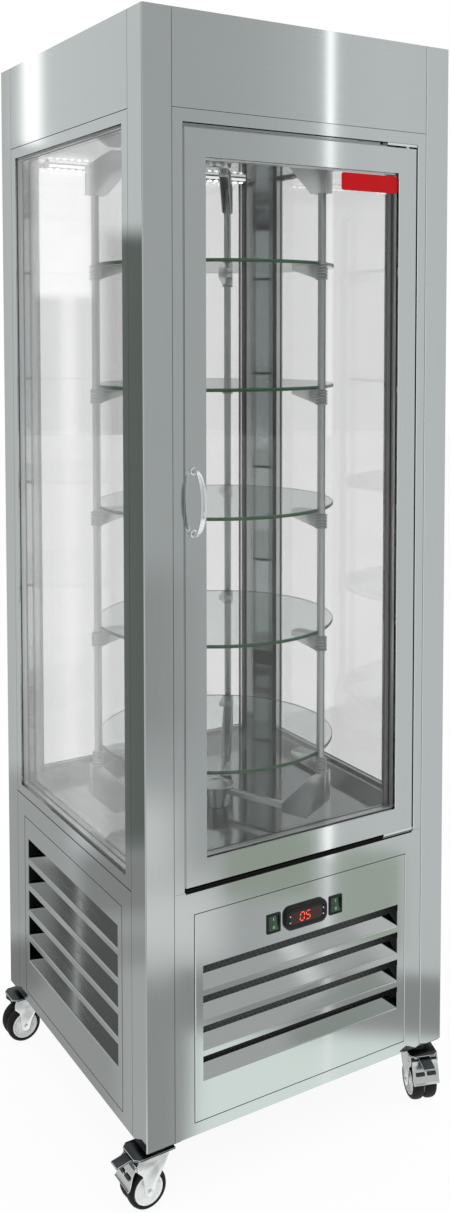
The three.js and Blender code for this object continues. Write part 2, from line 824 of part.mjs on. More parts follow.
// Hinge plates stay on the cabinet, and their pins stand in the door's bores
function hingePlate(upper) {
  const lowest = surroundBottom + surroundSill + fit;
  const plateLow = upper ? doorTop + doorGapTop - fit - hingePlateThickness : lowest;
  const plateHigh = plateLow + hingePlateThickness;
  const front = -halfDepth + skin / 2;
  const inner = surroundInner - fit;
  const plate = cuboid(
    [inner - hingePlateLength, front, plateLow],
    [inner, front + hingePlateDepth, plateHigh],
  );
  const reach = hingePinLength - fit;
  const pin = upper
    ? drum(hingePinRadius, plateLow - reach, plateHigh, 24)
    : drum(hingePinRadius, plateLow, plateHigh + reach, 24);
  return plate.add(moved(pin, pivotX, pivotY, 0));
}
addPiece(model, 'hinge_plate_top', hingePlate(true), 'polishedSteel');
addPiece(model, 'hinge_plate_bottom', hingePlate(false), 'polishedSteel');

// Carousel: spiders with folded gussets hold three rods, whose ribbed sleeves carry the shelves
const gussetLength = 91.5;
const gussetTipRise = 5;
const gussetSheet = 2;
const gussetHeightTop = 80;
const bracketHeight = 27;
const gussetHeightLow = lowShelfRise - bracketHeight + gussetTipRise;
const armHeight = 10;
const armWidth = 11;
const lowHubBottomRadius = 25;
const lowHubRadius = 33;
const lowHubLip = 4;
const armRise = 5;
const topHubRadius = 23;
const topHubHeight = 20;
const topHubRimShare = 0.88;
const driveShaftRadius = 6;
const driveShaftReach = 62;
const gussetOuter = carouselRadius;
const gussetInner = gussetOuter - gussetLength;
const gussetWidth = 2 * (rodRadius + fit + gussetSheet);
const lowGussetShares = [[0, 0], [0, 0.17], [0.7, 0.87], [1, 1], [1, 0.415], [0.55, 0]];
const topGussetShares = [[0, 0], [0, 0.2], [0.63, 1], [1, 1], [1, 0.35], [0.53, 0]];

function gusset(shares, height, level, up) {
  const span = gussetOuter - gussetInner;
  const outline = shares.map(([u, v]) => [gussetInner + u * span, level + up * v * height]);
  const beveled = shares.at(-1);
  const corner = shares.at(-2);
  const hollow = [
    [gussetInner + gussetSheet, level + up * gussetSheet],
    [gussetInner + beveled[0] * span - gussetSheet / 2, level + up * gussetSheet],
    [gussetOuter - gussetSheet, level + up * (corner[1] * height + gussetSheet / 2)],
    [gussetOuter - gussetSheet, level + up * (height + overrun)],
    [gussetInner + gussetSheet, level + up * (height + overrun)],
  ];
  const half = gussetWidth / 2;
  const body = prism(outline, -half, half, 'y');
  return body.subtract(prism(hollow, gussetSheet - half, half - gussetSheet, 'y'));
}

function spider(hub, shares, height, level, up) {
  let whole = hub;
  const armLow = up > 0 ? level + armRise : level - gussetSheet - armHeight;
  const half = armWidth / 2;
  for (let i = 0; i < rodCount; i += 1) {
    const arm = cuboid([0, -half, armLow], [gussetInner + gussetSheet, half, armLow + armHeight]);
    const limb = arm.add(gusset(shares, height, level, up));
    whole = whole.add(turnedAbout(limb, carouselStartAngle + (i * 360) / rodCount));
  }
  return whole;
}

const lowHubTop = lowSpiderLevel + armRise + armHeight + lowHubLip;
const lowHub = turned(
  [
    [0, deckLevel - driveShaftReach],
    [driveShaftRadius, deckLevel - driveShaftReach],
    [driveShaftRadius, deckLevel + fit],
    [lowHubBottomRadius, deckLevel + fit],
    [lowHubRadius - lowHubLip / 2, lowHubTop - lowHubLip],
    [lowHubRadius, lowHubTop - lowHubLip],
    [lowHubRadius, lowHubTop],
    [0, lowHubTop],
  ],
  24,
);
addPiece(
  carousel,
  'bottom_spider',
  spider(lowHub, lowGussetShares, gussetHeightLow, lowSpiderLevel, 1),
  'polishedSteel',
);

const topHub = turned(
  [
    [0, topSpiderLevel - topHubHeight],
    [topHubRadius * topHubRimShare, topSpiderLevel - topHubHeight],
    [topHubRadius, topSpiderLevel - topHubHeight + topHubRadius * (1 - topHubRimShare)],
    [topHubRadius, topSpiderLevel],
    [topPivotRadius, topSpiderLevel],
    [topPivotRadius, ceilingLevel + bushHeight],
    [0, ceilingLevel + bushHeight],
  ],
  24,
);
addPiece(
  carousel,
  'top_spider',
  spider(topHub, topGussetShares, gussetHeightTop, topSpiderLevel, -1),
  'polishedSteel',
);

const sleeveRadius = 8.5;
const ribProud = 2;
const ribCount = 4;
const ribPitch = 6.5;
const rodSides = 8;
const bracketLength = 54;
const bracketInnerWidth = 26;
const bracketOuterWidth = 17;
const bracketInnerHeight = 10;
const rodStandoff = 36;
const lowRodEnd = lowSpiderLevel + rodStandoff;
const topRodEnd = topSpiderLevel - rodStandoff + gussetSheet;

function shelfBracket(level) {
  const near = bracketInnerWidth / 2;
  const far = bracketOuterWidth / 2;
  const rodFace = rodCircle - rodRadius;
  const corners = [];
  for (const side of [-1, 1]) {
    corners.push([rodCircle - bracketLength, side * near, level]);
    corners.push([rodCircle - bracketLength, side * near, level - bracketInnerHeight]);
    corners.push([rodCircle, side * far, level]);
    corners.push([rodFace, side * far, level - bracketHeight]);
    corners.push([rodCircle, side * far, level - bracketHeight]);
  }
  return hull(corners);
}

function shelfRod() {
  const profile = [[0, lowRodEnd], [rodRadius, lowRodEnd]];
  const levels = [];
  for (let i = 0; i < shelfCount; i += 1) levels.push(lowestShelf + i * shelfPitch - fit);
  for (const level of levels) {
    profile.push([rodRadius, level - ribCount * ribPitch]);
    for (let rib = ribCount; rib > 0; rib -= 1) {
      profile.push([sleeveRadius, level - rib * ribPitch]);
      profile.push([sleeveRadius + ribProud, level - (rib - 0.5) * ribPitch]);
    }
    profile.push([sleeveRadius, level], [rodRadius, level]);
  }
  profile.push([rodRadius, topRodEnd], [0, topRodEnd]);
  const rod = moved(turned(profile, rodSides), rodCircle, 0, 0);
  return levels.reduce((whole, level) => whole.add(shelfBracket(level)), rod);
}

for (let i = 0; i < rodCount; i += 1) {
  const mesh = addPiece(carousel, `carousel_rod_${i + 1}`, shelfRod(), 'polishedSteel');
  mesh.rotation.z = radians(carouselStartAngle + (i * 360) / rodCount);
}

for (let i = 0; i < shelfCount; i += 1) {
  const low = lowestShelf + i * shelfPitch;
  addPiece(carousel, `shelf_${i + 1}`, drum(shelfRadius, low, low + shelfThickness, 40), 'shelfGlass');
}

// Gear motor that turns the carousel, hung under the chamber floor
const gearboxLength = 90;
const gearboxWidth = 62;
const gearboxHeight = 38;
const motorRadius = 24;
const motorLength = 52;
const motorOffset = 30;
const gearboxTop = ledgeLevel + fit - deckInsulation - fit;
function gearMotor() {
  const low = gearboxTop - gearboxHeight;
  const half = gearboxWidth / 2;
  const box = cuboid([-half, -half, low], [gearboxLength - half, half, gearboxTop]);
  const motor = drum(motorRadius, low - motorLength, low + sheet, 20);
  const body = box.add(moved(motor, motorOffset, 0, 0));
  return cut(body, drum(driveShaftRadius + pivotClearance, low + sheet, bodyTop, 24));
}
addPiece(model, 'gear_motor', gearMotor(), 'aluminium');

// Compressor: a welded shell on a foot plate, with its stubs and terminal cover
const compressorX = 95;
const compressorY = 95;
const compressorRadius = 68;
const compressorHeight = 158;
const compressorFootLength = 180;
const footHeight = 12;
const footSheet = 3;
const shellShares = [
  [0.55, 0],
  [0.88, 0.06],
  [1, 0.2],
  [1, 0.72],
  [0.9, 0.88],
  [0.55, 0.98],
];
const stubRadius = 5;
const stubReach = 18;
const terminalBoxSize = 34;
function compressor() {
  const floor = bayBottom + sheet + fit;
  const shellLow = floor + footHeight;
  const rings = shellShares.map(([r, h]) => [r * compressorRadius, shellLow + h * compressorHeight]);
  const shell = turned([[0, shellLow], ...rings, [0, shellLow + compressorHeight]], 16);
  const half = compressorFootLength / 2;
  const narrow = compressorRadius / 2;
  let body = shell.add(cuboid([-half, -narrow, shellLow], [half, narrow, shellLow + footSheet]));
  const footRadius = footHeight;
  for (const [signX, signY] of [[-1, -1], [1, -1], [1, 1], [-1, 1]]) {
    const x = signX * (half - footRadius);
    const y = signY * (narrow - footRadius);
    body = body.add(moved(drum(footRadius, floor, shellLow + footSheet, 8), x, y, 0));
  }
  const stubLevel = shellLow + compressorHeight / 2;
  const tip = compressorRadius + stubReach;
  for (const level of [stubLevel, stubLevel + stubReach]) {
    body = body.add(bar([compressorRadius / 2, 0, level], [tip, 0, level], stubRadius, 8));
  }
  const box = cuboid(
    [-terminalBoxSize / 2, -compressorRadius - terminalBoxSize / 2, stubLevel - terminalBoxSize / 2],
    [terminalBoxSize / 2, -compressorRadius / 2, stubLevel + terminalBoxSize / 2],
  );
  return body.add(box);
}
addPiece(model, 'compressor', compressor(), 'blackEnamel', [compressorX, compressorY, 0]);

// Heat exchangers: a block of tubes and fins, shown by slots between the fins
function finnedBlock(length, depth, height, finCount, slotDepth, tubeRadius) {
  const pitch = length / finCount;
  let block = cuboid([0, 0, 0], [length, depth, height]);
  const gap = pitch / 2;
  for (let i = 0; i < finCount; i += 1) {
    const x = (i + 0.5) * pitch - gap / 2;
    block = block.subtract(cuboid([x, -overrun, sheet], [x + gap, slotDepth, height - sheet]));
  }
  for (const level of [1 / 4, 3 / 4]) {
    const bend = tube(tubeRadius, 3 * tubeRadius, 0, 2 * tubeRadius, 8);
    const half = cut(bend, cuboid([0, -overrun, -overrun], [overrun, overrun, overrun]));
    block = block.add(moved(half, tubeRadius / 4, depth / 2, height * level));
  }
  return block;
}

// The condenser fills the space behind the front louvres
const condenserEndGap = 6;
const condenserTopGap = 8;
const condenserDepth = 40;
const condenserFins = 12;
const condenserTube = 4;
const condenserBack = 105;
const finSlot = 14;
const bayFloorTop = bayBottom + sheet + fit;
const condenserHalf = panelHalf('front') - louvreMargin - condenserEndGap;
const condenserLength = 2 * condenserHalf;
const topLouvre = panelBottom + louvreBase + (frontLouvres - 1) * louvrePitch;
const condenserTop = topLouvre + louvreOpening - condenserTopGap;
const condenserHeight = condenserTop - bayFloorTop;
const condenserY = -halfDepth + condenserBack - condenserDepth;
const condenser = finnedBlock(
  condenserLength,
  condenserDepth,
  condenserHeight,
  condenserFins,
  finSlot,
  condenserTube,
);
addPiece(model, 'condenser', condenser, 'aluminium', [-condenserHalf, condenserY, bayFloorTop]);

// Fan shroud behind the condenser, with the fan motor on three struts
const condenserFanRadius = 98;
const shroudWall = 3;
const shroudDepth = 30;
const shroudBack = 48;
const fanMotorRadius = 26;
const fanMotorLength = 36;
const fanShaftRadius = 4;
const strutWidth = 8;
const strutCount = 3;
const strutRootShare = 0.8;
const fanCentreZ = bayFloorTop + condenserHeight / 2;
const shroudY = condenserY + condenserDepth + fit;
function fanShroud() {
  const halfZ = condenserHeight / 2;
  const rim = condenserFanRadius + 2 * sheet;
  const plate = cuboid([-condenserHalf, 0, -halfZ], [condenserHalf, shroudWall, halfZ]);
  const ring = drum(rim + shroudWall, 0, shroudDepth, 20, 'y');
  let body = cut(plate.add(ring), drum(rim, -overrun, shroudDepth + overrun, 20, 'y'));
  const motorFront = shroudBack;
  for (let i = 0; i < strutCount; i += 1) {
    const angle = radians(90 + (i * 360) / strutCount);
    const outer = rim + shroudWall / 2;
    const inner = fanMotorRadius * strutRootShare;
    const start = [outer * Math.cos(angle), shroudDepth - shroudWall, outer * Math.sin(angle)];
    const end = [inner * Math.cos(angle), motorFront + shroudWall, inner * Math.sin(angle)];
    body = body.add(bar(start, end, strutWidth / 2, 6));
  }
  const motor = drum(fanMotorRadius, motorFront, motorFront + fanMotorLength, 16, 'y');
  const shaft = drum(fanShaftRadius, shroudWall, motorFront + sheet, 12, 'y');
  return body.add(motor).add(shaft);
}
addPiece(model, 'fan_shroud', fanShroud(), 'blackEnamel', [0, shroudY, fanCentreZ]);

// Axial fan: pitched blades on a hub that turns on the motor's shaft
const bladeChordShare = 0.75;
const bladePitchDegrees = 28;
const bladeThickness = 2;
function axialFan(radius, hubRadius, hubLength, bore, blades, axis) {
  let fan = drum(hubRadius, 0, hubLength, 16, axis);
  const pitchAngle = radians(bladePitchDegrees);
  const chord = (hubLength * bladeChordShare) / Math.sin(pitchAngle);
  const reach = radius - hubRadius / 2;
  for (let i = 0; i < blades; i += 1) {
    const blade = new THREE.BoxGeometry(reach, chord, bladeThickness);
    blade.rotateX(pitchAngle);
    blade.translate((radius + hubRadius / 2) / 2, 0, hubLength / 2);
    blade.rotateZ(radians((i * 360) / blades));
    if (axis === 'y') blade.rotateX(-Math.PI / 2);
    fan = fan.add(solidFrom(blade));
  }
  return fan.subtract(drum(bore, -overrun, hubLength + overrun, 12, axis));
}

const condenserFanLength = 22;
const fanHubRadius = 20;
const fanBlades = 5;
const condenserFan = axialFan(
  condenserFanRadius,
  fanHubRadius,
  condenserFanLength,
  fanShaftRadius + pivotClearance,
  fanBlades,
  'y',
);
const condenserFanY = shroudY + shroudWall + sheet;
addPiece(model, 'condenser_fan', condenserFan, 'blackPlastic', [0, condenserFanY, fanCentreZ]);

// Evaporator on the ceiling liner, with its fan over the guard
const evaporatorLength = 300;
const evaporatorDepth = 90;
const evaporatorHeight = 60;
const evaporatorFins = 10;
const evaporatorTube = 4;
const evaporatorY = -130;
const evaporator = finnedBlock(
  evaporatorLength,
  evaporatorDepth,
  evaporatorHeight,
  evaporatorFins,
  finSlot,
  evaporatorTube,
);
const linerTop = ceilingLevel + sheet + fit;
addPiece(model, 'evaporator', evaporator, 'aluminium', [-evaporatorLength / 2, evaporatorY, linerTop]);

const evaporatorFanRadius = 56;
const evaporatorFanHub = 18;
const evaporatorFanLength = 18;
const evaporatorFan = axialFan(
  evaporatorFanRadius,
  evaporatorFanHub,
  evaporatorFanLength,
  guardShaftRadius + pivotClearance,
  fanBlades,
  'z',
);
const evaporatorFanLevel = ceilingLevel + sheet + guardMotorHeight + fit;
addPiece(model, 'evaporator_fan', evaporatorFan, 'blackPlastic', [0, fanGuardY, evaporatorFanLevel]);

// Casters: a fork that swivels on the kingpin, a twin wheel and, in front, a brake pedal. Each is
// drawn with its wheel trailing towards -X
const forkTop = bayBottom - fit - casterPlateThickness - fit;
const raceRadius = 21;
const raceHeight = 8;
const crownThickness = 3;
const crownTop = forkTop - raceHeight;
const crownBottom = crownTop - crownThickness;
const crownFront = 22;
const crownBack = 50;
const crownCorner = 8;
const legOuter = 26.5;
const legThickness = 2.5;
const legEyeRadius = 9;
const axleRadius = 4;
const axleClearance = 0.3;
const axleLevel = wheelRadius;
const wheelHalfWidth = 23;
const leverReach = 75;
const leverWidth = 22;
const leverDrop = 10;
const leverThickness = 2.5;
const pedalPivotX = -39;
const pedalPivotLevel = 73.5;
const pedalPinRadius = 2;
// Edges of a leg, as shares of the crown's reach and of its level
const legFrontShares = [
  [-0.02, 0.695],
  [0.24, 1],
];
const legBackShares = [
  [-0.84, 1],
  [-0.92, 0.895],
  [-0.92, 0.795],
  [-0.74, 0.695],
];
const legEyeSteps = 6;

function casterFork(braked) {
  const half = legOuter;
  const plan = [
    [crownFront, -half],
    [crownFront, half],
    [crownCorner - crownBack, half],
    [-crownBack, half - crownCorner],
    [-crownBack, crownCorner - half],
    [crownCorner - crownBack, -half],
  ];
  let fork = prism(plan, crownBottom, crownTop).add(drum(raceRadius, crownBottom, forkTop, 16));
  const eye = [];
  for (let i = 0; i <= legEyeSteps; i += 1) {
    const turn = Math.PI * (1 + i / legEyeSteps);
    eye.push([legEyeRadius * Math.cos(turn) - casterTrail, legEyeRadius * Math.sin(turn) + axleLevel]);
  }
  const legBack = scaled(legBackShares, crownBack, crownTop);
  const legFront = scaled(legFrontShares, crownBack, crownTop);
  const outline = [...legBack, ...eye, ...legFront];
  for (const side of [-1, 1]) {
    const low = side > 0 ? half - legThickness : -half;
    fork = fork.add(prism(outline, low, low + legThickness, 'y'));
  }
  fork = fork.add(moved(drum(axleRadius, -half, half, 12, 'y'), -casterTrail, 0, axleLevel));
  if (braked) {
    const pin = drum(pedalPinRadius, -half, half, 8, 'y');
    fork = fork.add(moved(pin, pedalPivotX, 0, pedalPivotLevel));
    const lever = [
      [-crownBack / 2, crownTop],
      [-leverReach, crownTop - leverDrop],
      [-leverReach, crownTop - leverDrop - leverThickness],
      [-crownBack / 2, crownBottom],
    ];
    fork = fork.add(prism(lever, -leverWidth / 2, leverWidth / 2, 'y'));
  }
  const well = drum(kingpinRadius + pivotClearance, 0, bodyTop, 12);
  return fork.subtract(well);
}

// Brake pedal: a folded plate round a pin between the legs, with two slots and an outward lip
const pedalHalf = 24.5;
const pedalEarHalf = 23.4;
const pedalSheet = 1.6;
const pedalBoreRadius = 2.3;
const pedalEarRadius = 4.6;
const pedalSlotWidth = 16;
const pedalSlotHeight = 5;
const pedalSlotGap = 5;
const pedalSlotLevel = 60;
// The face and the top of the pedal, as shares of the lever's reach and of the pin's level
const pedalFaceShares = [
  [-0.667, 1.007],
  [-0.72, 0.912],
  [-0.78, 0.667],
  [-0.827, 0.599],
];
const pedalTopShares = [
  [-0.667, 1.007],
  [-0.62, 1.068],
  [-0.52, 1.064],
];
// The web between a pedal's ear and its top, as shares of the ear's radius
const pedalWebShares = [
  [0, 0],
  [-1.74, 0.22],
  [-1.96, 0.87],
  [0, 0.98],
];
function thickened(line, offsetX, offsetZ) {
  const inner = line.map(([x, z]) => [x + offsetX, z + offsetZ]);
  return [...line, ...inner.reverse()];
}
function brakePedal() {
  const faceLine = scaled(pedalFaceShares, leverReach, pedalPivotLevel);
  const topLine = scaled(pedalTopShares, leverReach, pedalPivotLevel);
  const face = prism(thickened(faceLine, pedalSheet, 0), -pedalHalf, pedalHalf, 'y');
  const tab = thickened(topLine, 0, -pedalSheet);
  let pedal = face.add(prism(tab, -pedalEarHalf, pedalEarHalf, 'y'));
  const place = [pedalPivotX, 0, pedalPivotLevel];
  for (const side of [-1, 1]) {
    const low = side > 0 ? pedalEarHalf - pedalSheet : -pedalEarHalf;
    const disc = drum(pedalEarRadius, low, low + pedalSheet, 10, 'y');
    const webLine = scaled(pedalWebShares, pedalEarRadius, pedalEarRadius);
    const web = prism(webLine, low, low + pedalSheet, 'y');
    pedal = pedal.add(moved(disc.add(web), ...place));
    const slotLow = side > 0 ? pedalSlotGap / 2 : -pedalSlotGap / 2 - pedalSlotWidth;
    pedal = pedal.subtract(cuboid(
      [-overrun - legOuter * 2, slotLow, pedalSlotLevel - pedalSlotHeight / 2],
      [pedalPivotX, slotLow + pedalSlotWidth, pedalSlotLevel + pedalSlotHeight / 2],
    ));
  }
  return pedal.subtract(moved(drum(pedalBoreRadius, -legOuter, legOuter, 8, 'y'), ...place));
}

const tyreProfileShares = [
  [0.9, 0],
  [1, 0.22],
  [1, 0.78],
  [0.93, 1],
];
const wheelGroove = 4;
function twinWheel() {
  const bore = axleRadius + axleClearance;
  const half = wheelGroove / 2;
  const width = wheelHalfWidth - half;
  const groove = wheelRadius / 2;
  const near = tyreProfileShares.map(([r, w]) => [r * wheelRadius, w * width - wheelHalfWidth]);
  const far = tyreProfileShares.map(([r, w]) => [r * wheelRadius, wheelHalfWidth - w * width]).reverse();
  const profile = [
    [bore, -wheelHalfWidth],
    ...near,
    [groove, -half],
    [groove, half],
    ...far,
    [bore, wheelHalfWidth],
    [bore, -wheelHalfWidth],
  ];
  return turned(profile, 16, 'y');
}

const casters = [
  ['front_left', -1, -1, 0, true],
  ['front_right', 1, -1, 71.5, true],
  ['back_left', -1, 1, 0, false],
  ['back_right', 1, 1, -30, false],
];
for (const [corner, signX, signY, angle, braked] of casters) {
  const caster = new THREE.Group();
  caster.position.set(signX * casterX, signY * casterY, 0);
  caster.rotation.z = radians(angle);
  model.add(caster);
  addPiece(caster, `caster_fork_${corner}`, casterFork(braked), 'zinc');
  if (braked) addPiece(caster, `brake_pedal_${corner}`, brakePedal(), 'zinc');
  addPiece(caster, `caster_wheel_${corner}`, twinWheel(), 'rubber', [-casterTrail, 0, axleLevel]);
}

// The origin is the middle of the footprint of the whole box, on the floor
model.updateMatrixWorld(true);
const extent = new THREE.Box3().setFromObject(model, true);
const middle = extent.getCenter(new THREE.Vector3());
model.position.set(-middle.x, -middle.y, -extent.min.z);

export default model;
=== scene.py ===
"""Looks of a tall refrigerated display case with revolving round glass shelves.

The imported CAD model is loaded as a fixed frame. Its sheet metal gets procedural finishes, and its
glass, carousel, handle, controls, lamp and casters are replaced by finer pieces that ride on the
same bodies. All sizes here are in millimetres from the middle of the cabinet, with the door
towards -Y, and are turned into metres in the frame of the CAD model when a piece is made.
"""

import logging
import math
from dataclasses import dataclass
from enum import Enum
from typing import Any, Iterable, Sequence

import bmesh
import bpy
from mathutils import Matrix, Vector

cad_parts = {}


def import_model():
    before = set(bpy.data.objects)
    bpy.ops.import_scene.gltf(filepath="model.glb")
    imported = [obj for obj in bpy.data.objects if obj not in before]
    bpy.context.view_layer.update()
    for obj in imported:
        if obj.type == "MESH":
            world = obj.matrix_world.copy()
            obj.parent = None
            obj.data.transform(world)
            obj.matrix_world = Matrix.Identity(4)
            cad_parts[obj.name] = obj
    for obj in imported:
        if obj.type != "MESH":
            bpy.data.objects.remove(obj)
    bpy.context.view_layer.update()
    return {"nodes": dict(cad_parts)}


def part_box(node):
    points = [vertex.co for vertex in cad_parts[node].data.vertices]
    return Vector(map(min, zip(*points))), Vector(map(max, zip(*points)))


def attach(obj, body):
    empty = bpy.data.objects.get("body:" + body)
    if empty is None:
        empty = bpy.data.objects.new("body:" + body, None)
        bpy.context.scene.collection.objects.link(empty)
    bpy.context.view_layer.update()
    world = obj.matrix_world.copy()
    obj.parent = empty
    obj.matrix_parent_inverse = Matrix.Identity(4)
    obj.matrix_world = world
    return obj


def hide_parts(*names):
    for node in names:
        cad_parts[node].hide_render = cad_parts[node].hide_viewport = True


LOG = logging.getLogger("display_case")
MM = 0.001
# Front face of the cabinet
FACE = -300.0
# Distance in metres from band to band of the wave texture at scale 1
BAND_LENGTH = 2 / 6.3
Point = tuple[float, float, float]
Flat = tuple[float, float]
Colour = tuple[float, float, float, float]
Tree = bpy.types.NodeTree
Socket = bpy.types.NodeSocket


class Grain(Enum):
    """Direction that sheet metal was brushed in."""

    UP = "upright"
    ACROSS = "level"


class Side(Enum):
    """Faces of the cabinet, by the turn about Z that brings the front face there."""

    FRONT = 0.0
    LEFT = -90.0
    RIGHT = 90.0
    BACK = 180.0


class Corner(Enum):
    """Corners of the cabinet: sign in x, sign in y, turn of the caster, and whether it has a brake."""

    FRONT_LEFT = (-1, -1, 0.0, True)
    FRONT_RIGHT = (1, -1, 71.5, True)
    BACK_LEFT = (-1, 1, 0.0, False)
    BACK_RIGHT = (1, 1, -30.0, False)


WINDOWS = (Side.LEFT, Side.RIGHT, Side.BACK)


# Materials


def linear(code: str) -> Colour:
    """Turns an sRGB hex colour, such as "c0c4c3", into linear red, green, blue and alpha."""
    parts = [int(code[i : i + 2], 16) / 255 for i in (0, 2, 4)]
    red, green, blue = (c / 12.92 if c <= 0.04045 else ((c + 0.055) / 1.055) ** 2.4 for c in parts)
    return (red, green, blue, 1.0)


def add_node(tree: Tree, kind: str, inputs: dict[Any, Any] | None = None, **settings: Any) -> bpy.types.Node:
    """Adds a node with its settings, input values and links.

    Args:
        tree: Node tree of a material or world.
        kind: Node type, such as "ShaderNodeTexNoise".
        inputs: Value or output socket for each input, by name or number.
        **settings: Properties of the node.

    Returns:
        The new node.
    """
    node = tree.nodes.new(kind)
    for name, value in settings.items():
        setattr(node, name, value)
    for name, value in (inputs or {}).items():
        if isinstance(value, Socket):
            tree.links.new(value, node.inputs[name])
        else:
            node.inputs[name].default_value = value
    return node


def calc(tree: Tree, operation: str, *values: Socket | float) -> Socket:
    """Adds a math node and gives its result."""
    return add_node(tree, "ShaderNodeMath", dict(enumerate(values)), operation=operation).outputs[0]


def blend(tree: Tree, share: Socket | float, low: Any, high: Any, **settings: Any) -> Socket:
    """Adds a node that mixes two colours and gives its result."""
    inputs = {0: share, 6: low, 7: high}
    return add_node(tree, "ShaderNodeMix", inputs, data_type="RGBA", **settings).outputs[2]


def span(tree: Tree, value: Socket, source: Flat, target: Flat = (0.0, 1.0), **settings: Any) -> Socket:
    """Adds a node that maps a value from one range to another.

    Args:
        tree: Node tree of a material or world.
        value: Value that is mapped.
        source: Start and end of its range.
        target: What they become.
        **settings: Properties of the node.

    Returns:
        The mapped value.
    """
    inputs = dict(zip(("From Min", "From Max", "To Min", "To Max"), source + target), Value=value)
    return add_node(tree, "ShaderNodeMapRange", inputs, **settings).outputs[0]


@dataclass
class Brush:
    """Shader of a finish, with the tools that draw patterns on it. Coordinates are in metres."""

    finish: "Finish"
    tree: Tree
    shader: bpy.types.Node
    place: Socket

    def hold(self, **values: Any) -> None:
        """Sets constant values on the shader's own sockets, named with _ for a space."""
        for name, value in values.items():
            self.shader.inputs[name.replace("_", " ")].default_value = value

    def link(self, value: Socket, name: str) -> None:
        """Links a value to an input of the shader."""
        self.tree.links.new(value, self.shader.inputs[name])

    def grains(self, level: float, upright: float | None = None, detail: float = 3.0) -> Socket:
        """Makes a noise from 0 to 1 with its own pitch in each direction.

        Args:
            level: Pitch in x and y in millimetres.
            upright: Pitch in z, where it isn't the same.
            detail: Octaves of the noise.

        Returns:
            The noise.
        """
        scale = tuple(1.0 / (pitch * MM) for pitch in (level, level, upright or level))
        spread = add_node(self.tree, "ShaderNodeMapping", {"Vector": self.place, "Scale": scale})
        inputs = {"Vector": spread.outputs[0], "Scale": 1.0, "Detail": detail, "Roughness": 0.6}
        return add_node(self.tree, "ShaderNodeTexNoise", inputs).outputs["Fac"]

    def cells(self, pitch: float, **inputs: float) -> Socket:
        """Gives the distance from the nearest of many points, which lie about a pitch apart."""
        inputs = {"Vector": self.place, "Scale": 1.0 / (pitch * MM), **inputs}
        return add_node(self.tree, "ShaderNodeTexVoronoi", inputs).outputs["Distance"]

    def bands(self, pitch: float, axis: str, place: Socket | None = None, **inputs: float) -> Socket:
        """Makes soft bands from 0 to 1.

        Args:
            pitch: Distance from band to band in millimetres.
            axis: Axis along which they follow one another.
            place: Coordinates, where they aren't the brush's own.
            **inputs: Further inputs of the texture.

        Returns:
            The bands.
        """
        inputs = {"Vector": place or self.place, "Scale": BAND_LENGTH / (pitch * MM), **inputs}
        return add_node(self.tree, "ShaderNodeTexWave", inputs, bands_direction=axis).outputs["Fac"]

    def shade(self, amount: Socket, dark: Any, light: Any) -> None:
        """Sets the colour from dark to light along a pattern."""
        self.link(blend(self.tree, amount, dark, light), "Base Color")

    def tint(self, amount: Socket, spread: float) -> None:
        """Makes the colour a little lighter and darker along a pattern."""
        base = linear(self.finish.colour)[:3]
        ends = [(*(min(1.0, c * (1 + part)) for c in base), 1.0) for part in (-spread, spread)]
        self.shade(amount, *ends)

    def polish(self, amount: Socket, spread: float) -> None:
        """Makes the roughness a little higher and lower along a pattern."""
        middle = self.finish.roughness
        ends = (max(0.0, middle - spread), middle + spread)
        self.link(span(self.tree, amount, (0.0, 1.0), ends), "Roughness")

    def relief(self, height: Socket, depth: float, strength: float, base: Socket | None = None) -> None:
        """Raises the surface along a pattern.

        Args:
            height: Pattern from 0 to 1.
            depth: Height of the pattern in millimetres.
            strength: Share of the bump that is used.
            base: Normal that the bump starts from, where it isn't the surface's own.
        """
        inputs = {"Height": height, "Distance": depth * MM, "Strength": strength}
        if base is not None:
            inputs["Normal"] = base
        self.link(add_node(self.tree, "ShaderNodeBump", inputs).outputs[0], "Normal")


@dataclass(frozen=True)
class Finish:
    """Surface finish. Each kind says in draw() what its nodes do to the shader."""

    name: str = "finish"
    colour: str = "808080"
    metallic: float = 0.0
    roughness: float = 0.4

    def material(self) -> bpy.types.Material:
        """Returns the finish's material, making it the first time."""
        found = bpy.data.materials.get(self.name)
        if found is not None:
            return found
        made = bpy.data.materials.new(self.name)
        made.use_nodes = True
        made.diffuse_color = linear(self.colour)
        tree = made.node_tree
        place = add_node(tree, "ShaderNodeTexCoord").outputs["Object"]
        brush = Brush(self, tree, tree.nodes["Principled BSDF"], place)
        brush.hold(Base_Color=linear(self.colour), Metallic=self.metallic, Roughness=self.roughness)
        self.draw(brush)
        return made

    def draw(self, brush: Brush) -> None:
        """Draws the pattern of the finish. The plain kind has faint clouds only."""
        clouds = brush.grains(12.0)
        brush.tint(clouds, 0.06)
        brush.polish(clouds, 0.05)


